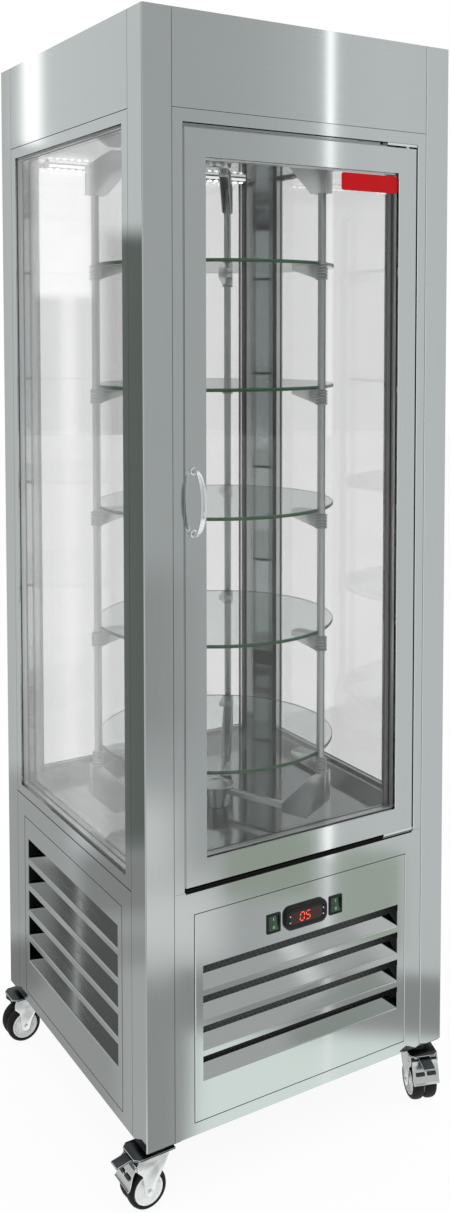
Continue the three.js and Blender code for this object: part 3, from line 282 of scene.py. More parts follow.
@dataclass(frozen=True)
class BrushedStainless(Finish):
    """Stainless sheet, bright annealed and lightly belt brushed: clear reflections under faint scratches.

    The real scratches lie about 0.1 mm apart. They are drawn 0.9 mm apart so that they show.
    """

    name: str = "stainless sheet, brushed upright"
    colour: str = "c3c8c7"
    metallic: float = 1.0
    roughness: float = 0.05
    grain: Grain = Grain.UP
    scratch_pitch: float = 0.9
    scratch_length: float = 130.0
    stretch: float = 0.2

    def draw(self, brush: Brush) -> None:
        """Draws scratches along the grain and a slow wander of the gloss."""
        upright = self.grain is Grain.UP
        fine, long = self.scratch_pitch, self.scratch_length
        scratches = brush.grains(fine, long, 4.0) if upright else brush.grains(long, fine, 4.0)
        wander = brush.grains(180.0, 260.0, 2.0)
        both = add_node(brush.tree, "ShaderNodeMix", {0: 0.5, 2: scratches, 3: wander}, data_type="FLOAT")
        brush.tint(scratches, 0.05)
        brush.polish(both.outputs[0], self.roughness * 0.45)
        brush.relief(scratches, 0.008, 0.12, self.lean(brush.tree))
        brush.hold(Anisotropic=self.stretch, Anisotropic_Rotation=0.0 if upright else 0.25)
        around = add_node(brush.tree, "ShaderNodeTangent", direction_type="RADIAL", axis="Z")
        brush.link(around.outputs[0], "Tangent")

    def lean(self, tree: Tree) -> Socket | None:
        """Gives the normal that the scratches start from, or None for the surface's own."""
        return None


@dataclass(frozen=True)
class LouvredStainless(BrushedStainless):
    """Brushed stainless panel with blades: each blade takes its light from the room in front of it.

    The scratches lie along the blade and spread light up and down far more than sideways. That is
    drawn as a lean of the blade's upper face towards the outside.
    """

    name: str = "stainless panel, louvred"
    grain: Grain = Grain.ACROSS
    stretch: float = 0.5
    outward: Flat = (0.0, -1.0)
    tip: float = 36.4

    def lean(self, tree: Tree) -> Socket | None:
        """Leans upward faces towards the outside."""
        own = add_node(tree, "ShaderNodeNewGeometry").outputs["Normal"]
        parts = add_node(tree, "ShaderNodeSeparateXYZ", {0: own})
        share = span(tree, parts.outputs[2], (0.4, 0.8))
        reach = math.tan(math.radians(self.tip))
        out = tuple(reach * c for c in self.outward) + (0.0,)
        kind = "ShaderNodeVectorMath"
        push = add_node(tree, kind, {0: out, "Scale": share}, operation="SCALE").outputs[0]
        total = add_node(tree, kind, {0: own, 1: push}, operation="ADD").outputs[0]
        return add_node(tree, kind, {0: total}, operation="NORMALIZE").outputs[0]


@dataclass(frozen=True)
class PolishedStainless(Finish):
    """Stainless rod and folded sheet, buffed: nearly a mirror with faint lines left by the buff."""

    name: str = "stainless, buffed"
    colour: str = "ced2d1"
    metallic: float = 1.0
    roughness: float = 0.29

    def draw(self, brush: Brush) -> None:
        """Draws short level lines and clouds in the gloss."""
        lines = brush.grains(14.0, 0.8)
        brush.tint(lines, 0.05)
        brush.polish(lines, 0.04)
        brush.relief(lines, 0.01, 0.08)


@dataclass(frozen=True)
class PlatedSteel(Finish):
    """Steel under bright plate, such as chrome or zinc: even gloss with a soft bloom of small spots."""

    name: str = "steel, bright zinc plate"
    colour: str = "e4e7e6"
    metallic: float = 1.0
    roughness: float = 0.2
    spot_pitch: float = 7.0

    def draw(self, brush: Brush) -> None:
        """Draws the bloom of the plate."""
        brush.tint(brush.cells(self.spot_pitch), 0.06)
        brush.polish(brush.grains(30.0), self.roughness * 0.4)


@dataclass(frozen=True)
class FloatGlass(Finish):
    """Clear float glass: no colour through its face, and faint clouds as wiping leaves them."""

    name: str = "float glass"
    colour: str = "f7f7f7"
    roughness: float = 0.0
    clear: float = 1.0
    index: float = 1.52

    def draw(self, brush: Brush) -> None:
        """Sets the glass and draws the wiping marks."""
        brush.hold(Transmission_Weight=self.clear, IOR=self.index)
        brush.tint(brush.grains(90.0, 160.0, 2.0), 0.012)


@dataclass(frozen=True)
class BayStainless(BrushedStainless):
    """Sheet of the machine bay: brushed stainless outside, and dull and dark inside, where the dark colour
    is painted shade.
    """

    name: str = "stainless sheet, machine bay"
    # Dark colour of the inner faces: painted shade
    inner: str = "2b2e2e"
    reach: float = 297.5
    middle: Flat = (0.0, 0.0)

    def draw(self, brush: Brush) -> None:
        """Adds the dull inside, which begins behind the outer faces, with a dark colour that paints the
        shade in the bay.
        """
        super().draw(brush)
        tree, inputs = brush.tree, brush.shader.inputs
        parts = add_node(tree, "ShaderNodeSeparateXYZ", {0: brush.place}).outputs
        away = []
        for part, middle in zip(parts, self.middle):
            away.append(calc(tree, "ABSOLUTE", calc(tree, "SUBTRACT", part, middle)))
        inside = calc(tree, "LESS_THAN", calc(tree, "MAXIMUM", *away), self.reach * MM)
        for name, value in (("Roughness", 0.6), ("Metallic", 0.2)):
            before = inputs[name]
            start = before.links[0].from_socket if before.is_linked else before.default_value
            mixed = add_node(tree, "ShaderNodeMix", {0: inside, 2: start, 3: value}, data_type="FLOAT")
            brush.link(mixed.outputs[0], name)
        # The inner faces take the dark colour: painted shade in the bay
        brush.shade(inside, inputs["Base Color"].links[0].from_socket, linear(self.inner))


@dataclass(frozen=True)
class PerforatedAluminium(Finish):
    """Aluminium spacer bar with small holes for the drying agent behind it: pale and satin.

    The real holes lie 2.5 mm apart. They are drawn 4 mm apart so that they show.
    """

    name: str = "aluminium spacer, perforated"
    colour: str = "f4f6f5"
    metallic: float = 0.85
    roughness: float = 0.35
    hole_pitch: float = 4.0
    hole: str = "9aa09e"

    def draw(self, brush: Brush) -> None:
        """Draws the holes as darker dots."""
        dots = span(brush.tree, brush.cells(self.hole_pitch, Randomness=0.0), (0.25, 0.4))
        brush.shade(dots, linear(self.hole), linear(self.colour))


@dataclass(frozen=True)
class FilterMesh(Finish):
    """Woven wire mesh behind the louvres: two sets of slanting wires with darker openings between them. Its
    dark colour and the darker openings are painted shade of the inside of the bay.
    """

    name: str = "steel mesh, woven, painted shade"
    colour: str = "4b4f4e"
    roughness: float = 0.7
    pitch: float = 7.2

    def draw(self, brush: Brush) -> None:
        """Draws the wires as two crossed sets of bands."""
        wires = []
        for turn in (math.radians(45.0), math.radians(-45.0)):
            inputs = {"Vector": brush.place, "Rotation": (turn, turn, 0.0)}
            slanted = add_node(brush.tree, "ShaderNodeMapping", inputs).outputs[0]
            wires.append(brush.bands(self.pitch, "Z", slanted))
        height = calc(brush.tree, "MAXIMUM", *wires)
        brush.tint(height, 0.3)
        brush.relief(height, 0.4, 0.5)


@dataclass(frozen=True)
class MouldedPlastic(Finish):
    """Moulded plastic such as ABS or polypropylene: spark-eroded grain that breaks up the gloss."""

    name: str = "ABS, moulded, black"
    colour: str = "0b0c0d"
    roughness: float = 0.3
    grain_pitch: float = 0.7
    gloss: float = 0.5

    def draw(self, brush: Brush) -> None:
        """Draws the grain of the mould."""
        brush.hold(IOR=1.53, Specular_IOR_Level=self.gloss)
        grain = brush.grains(self.grain_pitch)
        brush.tint(brush.grains(25.0), 0.08)
        brush.polish(grain, 0.06)
        brush.relief(grain, 0.02, 0.3)


@dataclass(frozen=True)
class MouldedRubber(MouldedPlastic):
    """Moulded rubber: matt, slightly dusty, with a soft sheen."""

    name: str = "rubber, moulded, black"
    colour: str = "0c0c0c"
    roughness: float = 0.6
    grain_pitch: float = 1.4


@dataclass(frozen=True)
class Lit(Finish):
    """Part that gives light, such as a diode's lens or a lit digit."""

    name: str = "lens, lit"
    colour: str = "ffffff"
    roughness: float = 0.2
    strength: float = 1.0

    def draw(self, brush: Brush) -> None:
        """Sets the light and a faint unevenness."""
        clouds = brush.grains(5.0)
        brush.tint(clouds, 0.04)
        brush.polish(clouds, 0.05)
        brush.hold(Emission_Color=linear(self.colour), Emission_Strength=self.strength)


@dataclass(frozen=True)
class FinnedAluminium(Finish):
    """Rolled aluminium fins on copper tube: close upright lines.

    The real fins lie about 2 mm apart. They are drawn 6 mm apart so that they show.
    """

    name: str = "aluminium fins, black coat"
    colour: str = "4a4e4e"
    metallic: float = 0.6
    roughness: float = 0.42
    fin_pitch: float = 6.0

    def draw(self, brush: Brush) -> None:
        """Draws the edges of the fins."""
        fins = brush.bands(self.fin_pitch, "X", Distortion=0.3)
        brush.tint(fins, 0.5)
        brush.relief(fins, 0.8, 0.8)


# Stainless sheet of the cabinet. Upright members are brushed upright, level ones across
STEEL_UP = BrushedStainless()
STEEL_ACROSS = BrushedStainless("stainless sheet, brushed across", grain=Grain.ACROSS, stretch=0.5)
STEEL_LINER = BrushedStainless("stainless liner, brushed", "a6abaa", roughness=0.1, grain=Grain.ACROSS)
STEEL_BEAD = BrushedStainless("stainless glazing bead, satin", "a3a8a7", roughness=0.16)
# A rolled edge gathers light from the whole room, and its colour is lighter than the sheet's, a painted
# highlight, so that it shows as a bright line
STEEL_FOLD_HIGHLIGHT = BrushedStainless("stainless, rolled edge", "f0f3f2", roughness=0.2)
PANELS = {
    Side.FRONT: LouvredStainless("stainless panel, front"),
    Side.LEFT: LouvredStainless("stainless panel, left", outward=(-1.0, 0.0)),
    Side.RIGHT: LouvredStainless("stainless panel, right", outward=(1.0, 0.0)),
    Side.BACK: LouvredStainless("stainless panel, back", outward=(0.0, 1.0)),
}
STEEL_BUFFED = PolishedStainless()
STEEL_ROD = PolishedStainless("stainless rod, drawn", "b0b5b4")
STEEL_TRIM = PolishedStainless("stainless trim, buffed", "dfe2e2", roughness=0.1)
CHROME = PlatedSteel("steel, chrome plate", "e0e2e3", roughness=0.05, spot_pitch=15.0)
ZINC = PlatedSteel()
# Darker zinc of the casters' crowns and levers: painted shade
ZINC_SHADED = PlatedSteel("steel, zinc plate, painted shade", "4c5051", roughness=0.3)
CAST = PlatedSteel("aluminium, die cast", "a3a7a8", roughness=0.45)
PANE = FloatGlass()
# The door's panes mirror little, so that the chamber behind them is seen clearly
PANE_DOOR = FloatGlass("float glass, anti-reflective coat", index=1.3)
PANE_EDGE = FloatGlass("float glass, cut edge", "79ab96", roughness=0.1, clear=0.5)
SHELF_GLASS = FloatGlass("float glass, shelf", "eef6f2")
# The ground rim of a shelf shows the iron in the glass as a deep green, a lighter green on its upper half
SHELF_RIM = FloatGlass("float glass, ground rim", "0d6a2a", roughness=0.5, clear=0.0)
SHELF_RIM_UPPER = FloatGlass("float glass, rim, upper half", "2c8450", roughness=0.5, clear=0.0)
SPACER = PerforatedAluminium()
SPACER_MILL = PerforatedAluminium("aluminium spacer, mill finish", "eef0ef", hole="b4b9b8")
# Sealant of the glazing, and dark lines that paint the shade in the panel seams and the pedal slots
SEALANT_AND_SHADE = MouldedRubber("polysulphide sealant and painted shade", "202223", roughness=0.55)
# Black for the glazing's butyl beads, and for the strip that paints the shadow under the door
BUTYL_AND_SHADOW = MouldedRubber("butyl bead and painted shadow, black", "050505", roughness=0.8, gloss=0.2)
GASKET = MouldedRubber("PVC gasket, extruded, light grey", "dcdfde", roughness=0.5)
TYRE = MouldedRubber(gloss=0.25)
HUB = MouldedPlastic("polypropylene, moulded, light grey", "eceeed", roughness=0.35)
ABS_BLACK = MouldedPlastic(gloss=0.3)
LENS_GREEN = MouldedPlastic("polycarbonate, moulded, green", "25482f", roughness=0.12)
WINDOW_DARK = MouldedPlastic("acrylic window, dark", "2a0d0c", roughness=0.08)
MARK_WHITE = MouldedPlastic("pad print, white", "b9bdbb", roughness=0.5)
ENAMEL = MouldedPlastic("stove enamel, black", "1e2022", roughness=0.3)
FILM_RED = MouldedPlastic("vinyl film, red", "b20009", roughness=0.5, gloss=0.15)
# Dark mesh behind the louvres: painted shade of the bay
MESH_SHADE = FilterMesh()
FINS = FinnedAluminium()
LED = Lit("diode lens, lit", "fffdf6", strength=3.0)
DIFFUSER = Lit("diffuser, lit", "f7faf8", strength=0.9)
DIGIT = Lit("digit, lit red", "f2503c", strength=0.75)


# Meshes


class Datum:
    """Middle of the cabinet in the frame of the CAD model, from the outer corners of two posts."""

    def __init__(self) -> None:
        """Reads the two posts."""
        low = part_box("corner_post_front_left")[0]
        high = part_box("corner_post_back_right")[1]
        self.x = (low.x + high.x) / 2
        self.y = (low.y + high.y) / 2

    def matrix(self) -> Matrix:
        """Gives the transform from millimetres about the cabinet to metres in the frame."""
        return Matrix.Translation((self.x, self.y, 0.0)) @ Matrix.Scale(MM, 4)


def arc(middle: Flat, radius: float, start: float, end: float, steps: int, flat: float = 1.0) -> list[Flat]:
    """Gives points along an arc.

    Args:
        middle: Its middle.
        radius: Its radius.
        start: Angle of the first point in degrees.
        end: Angle of the last point.
        steps: Steps between them.
        flat: Share of the height that is left.

    Returns:
        Points in order, one more than there are steps.
    """
    turns = [math.radians(start + (end - start) * k / steps) for k in range(steps + 1)]
    return [(middle[0] + radius * math.cos(t), middle[1] + flat * radius * math.sin(t)) for t in turns]


def rounded(width: float, height: float, corner: float, middle: Flat = (0.0, 0.0)) -> list[Flat]:
    """Gives the outline of a rectangle with rounded corners.

    Args:
        width: Width of the rectangle.
        height: Height of the rectangle.
        corner: Radius of its corners.
        middle: Its middle.

    Returns:
        Points in order.
    """
    ring = []
    for sx, sz, start in ((1, -1, -90), (1, 1, 0), (-1, 1, 90), (-1, -1, 180)):
        centre = (middle[0] + sx * (width / 2 - corner), middle[1] + sz * (height / 2 - corner))
        ring += arc(centre, corner, start, start + 90, 8)
    return ring


class Draft:
    """A mesh that is being drawn, in millimetres."""

    def __init__(self) -> None:
        """Starts with nothing drawn."""
        self.mesh = bmesh.new()

    def face(self, corners: Iterable[bmesh.types.BMVert], index: int = 0) -> None:
        """Adds one face, unless two of its corners are the same or it is there already."""
        ring = list(dict.fromkeys(corners))
        if len(ring) > 2 and self.mesh.faces.get(ring) is None:
            self.mesh.faces.new(ring).material_index = index

    def skin(self, rings: Iterable[Sequence[Sequence[float]]], index: int, closed: bool) -> list[list[Any]]:
        """Joins rings of points by faces. A ring of one point is a tip.

        Args:
            rings: Rings of points, in order.
            index: Material index of the faces.
            closed: Whether the last ring joins the first.

        Returns:
            The corners made for each ring.
        """
        rows = [[self.mesh.verts.new(p) for p in ring] for ring in rings]
        for low, high in zip(rows, rows[1:] + rows[:1] if closed else rows[1:]):
            steps = max(len(low), len(high))
            for i in range(steps):
                j = (i + 1) % steps
                ring = (low[i % len(low)], low[j % len(low)], high[j % len(high)], high[i % len(high)])
                self.face(ring, index)
        return rows

    def loft(self, rings: Iterable[Sequence[Point]], index: int = 0, closed: bool = False) -> None:
        """Joins rings of equally many points by a skin, with a face at each end where it isn't closed."""
        rows = self.skin(rings, index, closed)
        if not closed:
            self.face(reversed(rows[0]), index)
            self.face(rows[-1], index)

    def prism(
        self, outline: Sequence[Flat], low: float, high: float, axis: str = "z", index: int = 0
    ) -> None:
        """Pushes an outline along an axis.

        Args:
            outline: Points in xy for axis z, in xz for axis y, and in yz for axis x.
            low: Start of the push.
            high: End of the push.
            axis: Axis that it follows.
            index: Material index.
        """
        order = {"z": (0, 1, 2), "y": (0, 2, 1), "x": (2, 0, 1)}[axis]
        self.loft([[tuple((u, v, w)[i] for i in order) for u, v in outline] for w in (low, high)], index)

    def block(self, low: Point, high: Point) -> None:
        """Adds a box between two corners."""
        outline = [(low[0], low[1]), (high[0], low[1]), (high[0], high[1]), (low[0], high[1])]
        self.prism(outline, low[2], high[2])

    def frame(self, half: float, low: float, high: float, section: Iterable[Point]) -> None:
        """Draws a closed frame along the edge of an upright rectangle.

        Args:
            half: Half of the rectangle's width.
            low: Its lower edge.
            high: Its upper edge.
            section: Corners of the section: distance inwards at the sides, the same above and below, and y.
        """
        rings = []
        for across, rise, y in section:
            x, bottom, top = half - across, low + rise, high - rise
            rings.append([(-x, y, bottom), (x, y, bottom), (x, y, top), (-x, y, top)])
        self.loft(rings, closed=True)

    def lathe(
        self,
        profile: Sequence[Flat],
        steps: int,
        axis: str = "z",
        at: Point = (0.0, 0.0, 0.0),
        index: int = 0,
        closed: bool = False,
    ) -> None:
        """Turns a profile about an axis.

        Args:
            profile: Pairs of radius and height along the axis.
            steps: Number of steps round the axis.
            axis: Axis of the turn, through the point at.
            at: Point on the axis.
            index: Material index.
            closed: Whether the profile closes on itself, as for a ring.
        """
        rows = []
        for radius, height in profile:
            row = []
            for u, v in arc((0.0, 0.0), radius, 0.0, 360.0, steps)[: steps if radius else 1]:
                row.append(Vector({"z": (u, v, height), "y": (u, height, v)}[axis]) + Vector(at))
            rows.append(row)
        self.skin(rows, index, closed)

    def add(self, other: "Draft") -> None:
        """Takes over all that another draft holds."""
        held = bpy.data.meshes.new("held")
        other.mesh.to_mesh(held)
        other.mesh.free()
        self.mesh.from_mesh(held)
        bpy.data.meshes.remove(held)

    def turned(self, degrees: float, axis: str = "Z") -> "Draft":
        """Turns all that is drawn about an axis through the origin."""
        turn = Matrix.Rotation(math.radians(degrees), 4, axis)
        bmesh.ops.transform(self.mesh, matrix=turn, verts=self.mesh.verts)
        return self

    def shifted(self, x: float, y: float, z: float) -> "Draft":
        """Shifts all that is drawn."""
        bmesh.ops.translate(self.mesh, vec=(x, y, z), verts=self.mesh.verts)
        return self

    def eased(self, width: float, steps: int = 2, angle: float = 32.0) -> "Draft":
        """Rounds the edges that turn by more than an angle.

        Args:
            width: Width of the rounding.
            steps: Faces across it.
            angle: Smallest turn of an edge that is rounded, in degrees.

        Returns:
            The draft itself.
        """
        mesh, limit = self.mesh, math.radians(angle)
        bmesh.ops.recalc_face_normals(mesh, faces=mesh.faces)
        sharp = [e for e in mesh.edges if len(e.link_faces) == 2 and e.calc_face_angle(0.0) > limit]
        shape = {"segments": steps, "affect": "EDGES", "clamp_overlap": True, "profile": 0.5}
        bmesh.ops.bevel(mesh, geom=sharp, offset=width, **shape)
        return self


@dataclass
class Workshop:
    """Makes pieces from drafts and dresses the CAD nodes that stay."""

    datum: Datum
    smooth_angle: float = 38.0

    def piece(
        self, name: str, draft: Draft, finishes: Sequence[Finish], body: str, slot: str, *replaces: str
    ) -> None:
        """Makes a piece that rides on a body.

        Args:
            name: Name of the piece.
            draft: Its mesh in millimetres.
            finishes: Finishes by material index.
            body: CAD body that it moves with.
            slot: Material slot of the record; not used.
            *replaces: CAD nodes that it stands for.
        """
        mesh = bpy.data.meshes.new(name)
        bmesh.ops.recalc_face_normals(draft.mesh, faces=draft.mesh.faces)
        bmesh.ops.transform(draft.mesh, matrix=self.datum.matrix(), verts=draft.mesh.verts)
        limit = math.radians(self.smooth_angle)
        for edge in draft.mesh.edges:
            edge.smooth = len(edge.link_faces) == 2 and edge.calc_face_angle(0.0) < limit
        for face in draft.mesh.faces:
            face.smooth = True
        draft.mesh.to_mesh(mesh)
        draft.mesh.free()
        for finish in finishes:
            mesh.materials.append(finish.material())
        made = bpy.data.objects.new(name, mesh)
        bpy.context.scene.collection.objects.link(made)
        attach(made, body)
        if replaces:
            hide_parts(*replaces)
        LOG.info("piece %s on %s: %d faces", name, body, len(mesh.polygons))

    def dress(self, node: bpy.types.Object, finish: Finish) -> None:
        """Gives a CAD node that stays its finish."""
        for held in node.material_slots:
            held.material = finish.material()
        if not node.material_slots:
            node.data.materials.append(finish.material())


# Sub-assemblies


@dataclass
class CabinetShell:
    """Sheet metal, machines and gasket, which keep their CAD solids, by the start of their names."""

    middle: Flat

    def build(self, shop: Workshop, nodes: dict[str, bpy.types.Object]) -> None:
        """Dresses the CAD nodes that stay.

        Args:
            shop: Workshop that dresses.
            nodes: CAD nodes by name.
        """
        finishes = {
            ("corner_post", "window_frame", "door_surround", "door_frame"): STEEL_UP,
            ("header", "roof_panel"): STEEL_ACROSS,
            ("chamber_floor", "ceiling_liner"): STEEL_LINER,
            ("machine_bay",): BayStainless(middle=self.middle),
            ("door_gasket",): GASKET,
            ("hinge_plate",): STEEL_TRIM,
            ("compressor", "fan_shroud"): ENAMEL,
            ("condenser_fan", "evaporator_fan"): ABS_BLACK,
            ("condenser", "evaporator"): FINS,
            ("gear_motor",): CAST,
        }
        for name, node in nodes.items():
            for starts, finish in finishes.items():
                if name.startswith(starts):
                    shop.dress(node, finish)
                    break
        LOG.info("dressed the cabinet's CAD nodes")


# Openings of the front panel for the switches and the controller, as left, right, low and high
FRONT_HOLES = ((-75.5, -52.5, 397.0, 426.0), (50.5, 73.5, 397.0, 426.0), (-37.0, 35.0, 396.5, 426.5))


@dataclass
class LouvredPanel:
    """Panel of the machine bay with lanced louvres: each flap is rolled inwards from its lower edge."""

    side: Side
    holes: tuple[tuple[float, float, float, float], ...] = ()
    count: int = 5
    half: float = 213.0
    low: float = 122.0
    high: float = 464.0
    sheet: float = 1.5
    opening: float = 198.0
    first: float = 187.5
    pitch: float = 50.0
    height: float = 39.0
    depth: float = 23.0
    rise: float = 12.5
    roll: float = 1.8
    mesh_gap: float = 38.6
    mesh: float = 1.2
    mesh_half: float = 246.0

    def flap(self, level: float) -> list[Flat]:
        """Gives the section of a flap with its rolled edge, as y and z."""
        middle = (FACE + self.roll, level - self.roll)
        radii = (self.roll, self.roll - self.sheet)
        outer, inner = (arc(middle, radius, 180.0, 120.0, 5) for radius in radii)
        tip, start = (FACE + self.depth, level + self.rise), outer[-1]
        # A short face after the roll keeps the smoothing of the roll off the flat flap
        outer.append((start[0] + 0.05 * (tip[0] - start[0]), start[1] + 0.05 * (tip[1] - start[1])))
        return outer + [tip, (tip[0], tip[1] - self.sheet)] + inner[::-1]

    def plate(self, draft: Draft, gaps: Sequence[tuple[float, float, float, float]]) -> None:
        """Draws the flat sheet with its openings, cell by cell.

        Args:
            draft: Draft that it goes to.
            gaps: Openings as left, right, low and high.
        """
        xs = sorted({-self.half, self.half, *(x for gap in gaps for x in gap[:2])})
        zs = sorted({self.low, self.high, *(z for gap in gaps for z in gap[2:])})

        def full(i: int, k: int) -> bool:
            if not (0 <= i < len(xs) - 1 and 0 <= k < len(zs) - 1):
                return False
            x, z = (xs[i] + xs[i + 1]) / 2, (zs[k] + zs[k + 1]) / 2
            return not any(left < x < right and low < z < high for left, right, low, high in gaps)

        corners: dict[Point, bmesh.types.BMVert] = {}

        def corner(i: int, k: int, y: float) -> bmesh.types.BMVert:
            point = (xs[i], y, zs[k])
            if point not in corners:
                corners[point] = draft.mesh.verts.new(point)
            return corners[point]

        front, back = FACE, FACE + self.sheet
        cells = [(i, k) for i in range(len(xs) - 1) for k in range(len(zs) - 1) if full(i, k)]
        for i, k in cells:
            square = ((i, k), (i + 1, k), (i + 1, k + 1), (i, k + 1))
            for y in (front, back):
                draft.face([corner(*at, y) for at in square])
            for n, (di, dk) in enumerate(((0, -1), (1, 0), (0, 1), (-1, 0))):
                if not full(i + di, k + dk):
                    a, b = square[n], square[(n + 1) % 4]
                    draft.face([corner(*a, front), corner(*b, front), corner(*b, back), corner(*a, back)])

    def build(self, shop: Workshop) -> None:
        """Makes the panel and the dark mesh behind its louvres, which paints the shade inside the bay."""
        word, turn = self.side.name.lower(), self.side.value
        bottoms = [self.first + i * self.pitch for i in range(self.count)]
        gaps = [(-self.opening, self.opening, z - self.roll, z + self.height) for z in bottoms]
        draft = Draft()
        self.plate(draft, [*gaps, *self.holes])
        for level in bottoms:
            draft.prism(self.flap(level), 0.2 - self.opening, self.opening - 0.2, "x")
        name, finish = f"{word}_panel", PANELS[self.side]
        shop.piece(f"{name}_lanced", draft.turned(turn), (finish,), "cabinet", "brushed_steel", name)
        screen = Draft()
        y, top = FACE + self.mesh_gap, bottoms[-1] + self.height + 4.0
        screen.block((-self.mesh_half, y, self.first - 6.0), (self.mesh_half, y + self.mesh, top))
        shop.piece(f"{word}_louvre_mesh", screen.turned(turn), (MESH_SHADE,), "cabinet", "rubber")


@dataclass
class EdgeLines:
    """Rolled edges along the upright seams, and the narrow folds that close the gap round the door."""

    radius: float = 0.8
    lines: tuple[tuple[str, float, float, float], ...] = (
        ("cabinet", -211.8, 123.0, 463.0),
        ("cabinet", 214.3, 123.0, 463.0),
        ("cabinet", 250.9, 103.0, 1882.0),
        ("cabinet", 232.1, 508.0, 1706.0),
        ("door", 191.1, 551.0, 1662.0),
    )

    def build(self, shop: Workshop) -> None:
        """Makes the edge lines, the folds of the door, and the black strip in the gap under the door, which
        paints its shadow.
        """
        for number, (body, x, low, high) in enumerate(self.lines, 1):
            draft = Draft()
            draft.prism(arc((x, FACE), self.radius, 180.0, 360.0, 8, 0.55), low, high)
            # The edge line's lighter colour is a painted highlight
            shop.piece(f"rolled_edge_{number}", draft, (STEEL_FOLD_HIGHLIGHT,), body, "brushed_steel")
        fold = Draft()
        front = FACE + 0.5
        fold.block((-230.6, front, 511.0), (-228.35, front + 3.0, 1704.9))
        fold.block((-230.6, front, 1705.35), (165.0, front + 3.0, 1707.4))
        shop.piece("door_fold", fold.eased(0.5), (STEEL_BEAD,), "door", "brushed_steel")
        # Black strip in the gap under the door: painted shadow
        gap_shadow = Draft()
        gap_shadow.block((-229.0, FACE - 0.12, 500.6), (228.5, FACE - 0.02, 503.45))
        gap_shadow.block((-229.0, FACE + 0.6, 503.9), (165.0, -268.0, 506.8))
        shop.piece("door_gap_shadow", gap_shadow, (BUTYL_AND_SHADOW,), "cabinet", "rubber")


@dataclass
class PanelSeam:
    """Dark line in the seam round each louvred panel: painted shade in the gap between the sheets."""

    half: float = 213.0
    low: float = 122.0
    high: float = 464.0
    width: float = 1.3
    proud: float = 0.12
    joints: Flat = (503.0, 1733.3)

    def build(self, shop: Workshop) -> None:
        """Makes the lines on all four sides, and on three the joints over and under the window."""
        back, out = FACE - 0.02, -self.width
        front = back - self.proud
        # Each dark line is painted shade in a seam
        for side in Side:
            draft = Draft()
            section = ((0.0, 0.0, back), (0.0, 0.0, front), (out, out, front), (out, out, back))
            draft.frame(self.half, self.low, self.high, section)
            for level in self.joints if side is not Side.FRONT else ():
                draft.block((-249.5, front, level - 0.6), (249.5, back, level + 0.6))
            name = f"panel_seam_{side.name.lower()}"
            shop.piece(name, draft.turned(side.value), (SEALANT_AND_SHADE,), "cabinet", "rubber")


@dataclass
class GlazedUnit:
    """Double glazing: two panes on a perforated spacer bar, sealed round the edge.

    A black bead beside each pane reaches past the bar by bead_out and bead_in. Where the bar's level
    parts show more than the upright ones, the beads don't reach past them.
    """

    half: float
    low: float
    high: float
    front: float
    thickness: float
    pane: float = 3.0
    seal: float = 13.0
    bar: float = 7.0
    bead_out: float = 1.6
    bead_in: float = 1.6
    show: float = 0.0
    spacer: Finish = SPACER
    glass: Finish = PANE

    def ring(
        self, draft: Draft, inset: float, width: float, front: float, back: float, level: float
    ) -> None:
        """Draws a rectangular ring round the unit.

        Args:
            draft: Draft that it goes to.
            inset: Distance of its outer edge from the unit's edge.
            width: Width of its upright parts.
            front: Its front face.
            back: Its back face.
            level: Width of its level parts.
        """
        corners = ((0.0, front), (1.0, front), (1.0, back), (0.0, back))
        section = [(inset + share * width, inset + share * level, y) for share, y in corners]
        draft.frame(self.half, self.low, self.high, section)

    def build(self, shop: Workshop, name: str, node: str, body: str, side: Side) -> None:
        """Makes the panes, the spacer and the seal of one unit.

        Args:
            shop: Workshop that makes the pieces.
            name: First word of the pieces' names.
            node: CAD node that they replace.
            body: Body that they ride on.
            side: Face of the cabinet.
        """
        back = self.front + self.thickness
        glass = Draft()
        for low in (self.front, back - self.pane):
            glass.block((-self.half, low, self.low), (self.half, low + self.pane, self.high))
        panes = glass.eased(0.6, 1).turned(side.value)
        bmesh.ops.recalc_face_normals(panes.mesh, faces=panes.mesh.faces)
        largest = max(f.calc_area() for f in panes.mesh.faces)
        for face in panes.mesh.faces:
            face.material_index = 0 if face.calc_area() > largest / 2 else 1
        shop.piece(f"{name}_panes", panes, (self.glass, PANE_EDGE), body, "clear_glass", node)
        inner, outer = self.front + self.pane + 0.05, back - self.pane - 0.05
        bar, seal, bead = Draft(), Draft(), Draft()
        self.ring(bar, self.seal, self.bar, inner + 0.5, outer - 0.5, self.bar + self.show)
        shop.piece(f"{name}_spacer", bar.turned(side.value), (self.spacer,), body, "aluminium")
        self.ring(seal, 0.5, self.seal - 0.6, inner, outer, self.seal - 0.6)
        shop.piece(f"{name}_seal", seal.turned(side.value), (SEALANT_AND_SHADE,), body, "rubber")
        for low, past in ((inner, self.bead_out), (outer - 0.45, self.bead_in)):
            width = self.bar + 0.2 + past
            level = self.bar + 0.2 if self.show else width
            self.ring(bead, self.seal - 0.2, width, low, low + 0.45, level)
        shop.piece(f"{name}_butyl", bead.turned(side.value), (BUTYL_AND_SHADOW,), body, "rubber")


WINDOW_UNIT = GlazedUnit(half=249.2, low=505.1, high=1730.8, front=-297.2, thickness=17.5)
DOOR_UNIT = GlazedUnit(
    half=199.4,
    low=541.8,
    high=1671.4,
    front=-296.7,
    thickness=18.0,
    pane=3.2,
    seal=3.3,
    bar=6.0,
    bead_out=0.2,
    bead_in=3.0,
    show=2.6,
    spacer=SPACER_MILL,
    glass=PANE_DOOR,
)


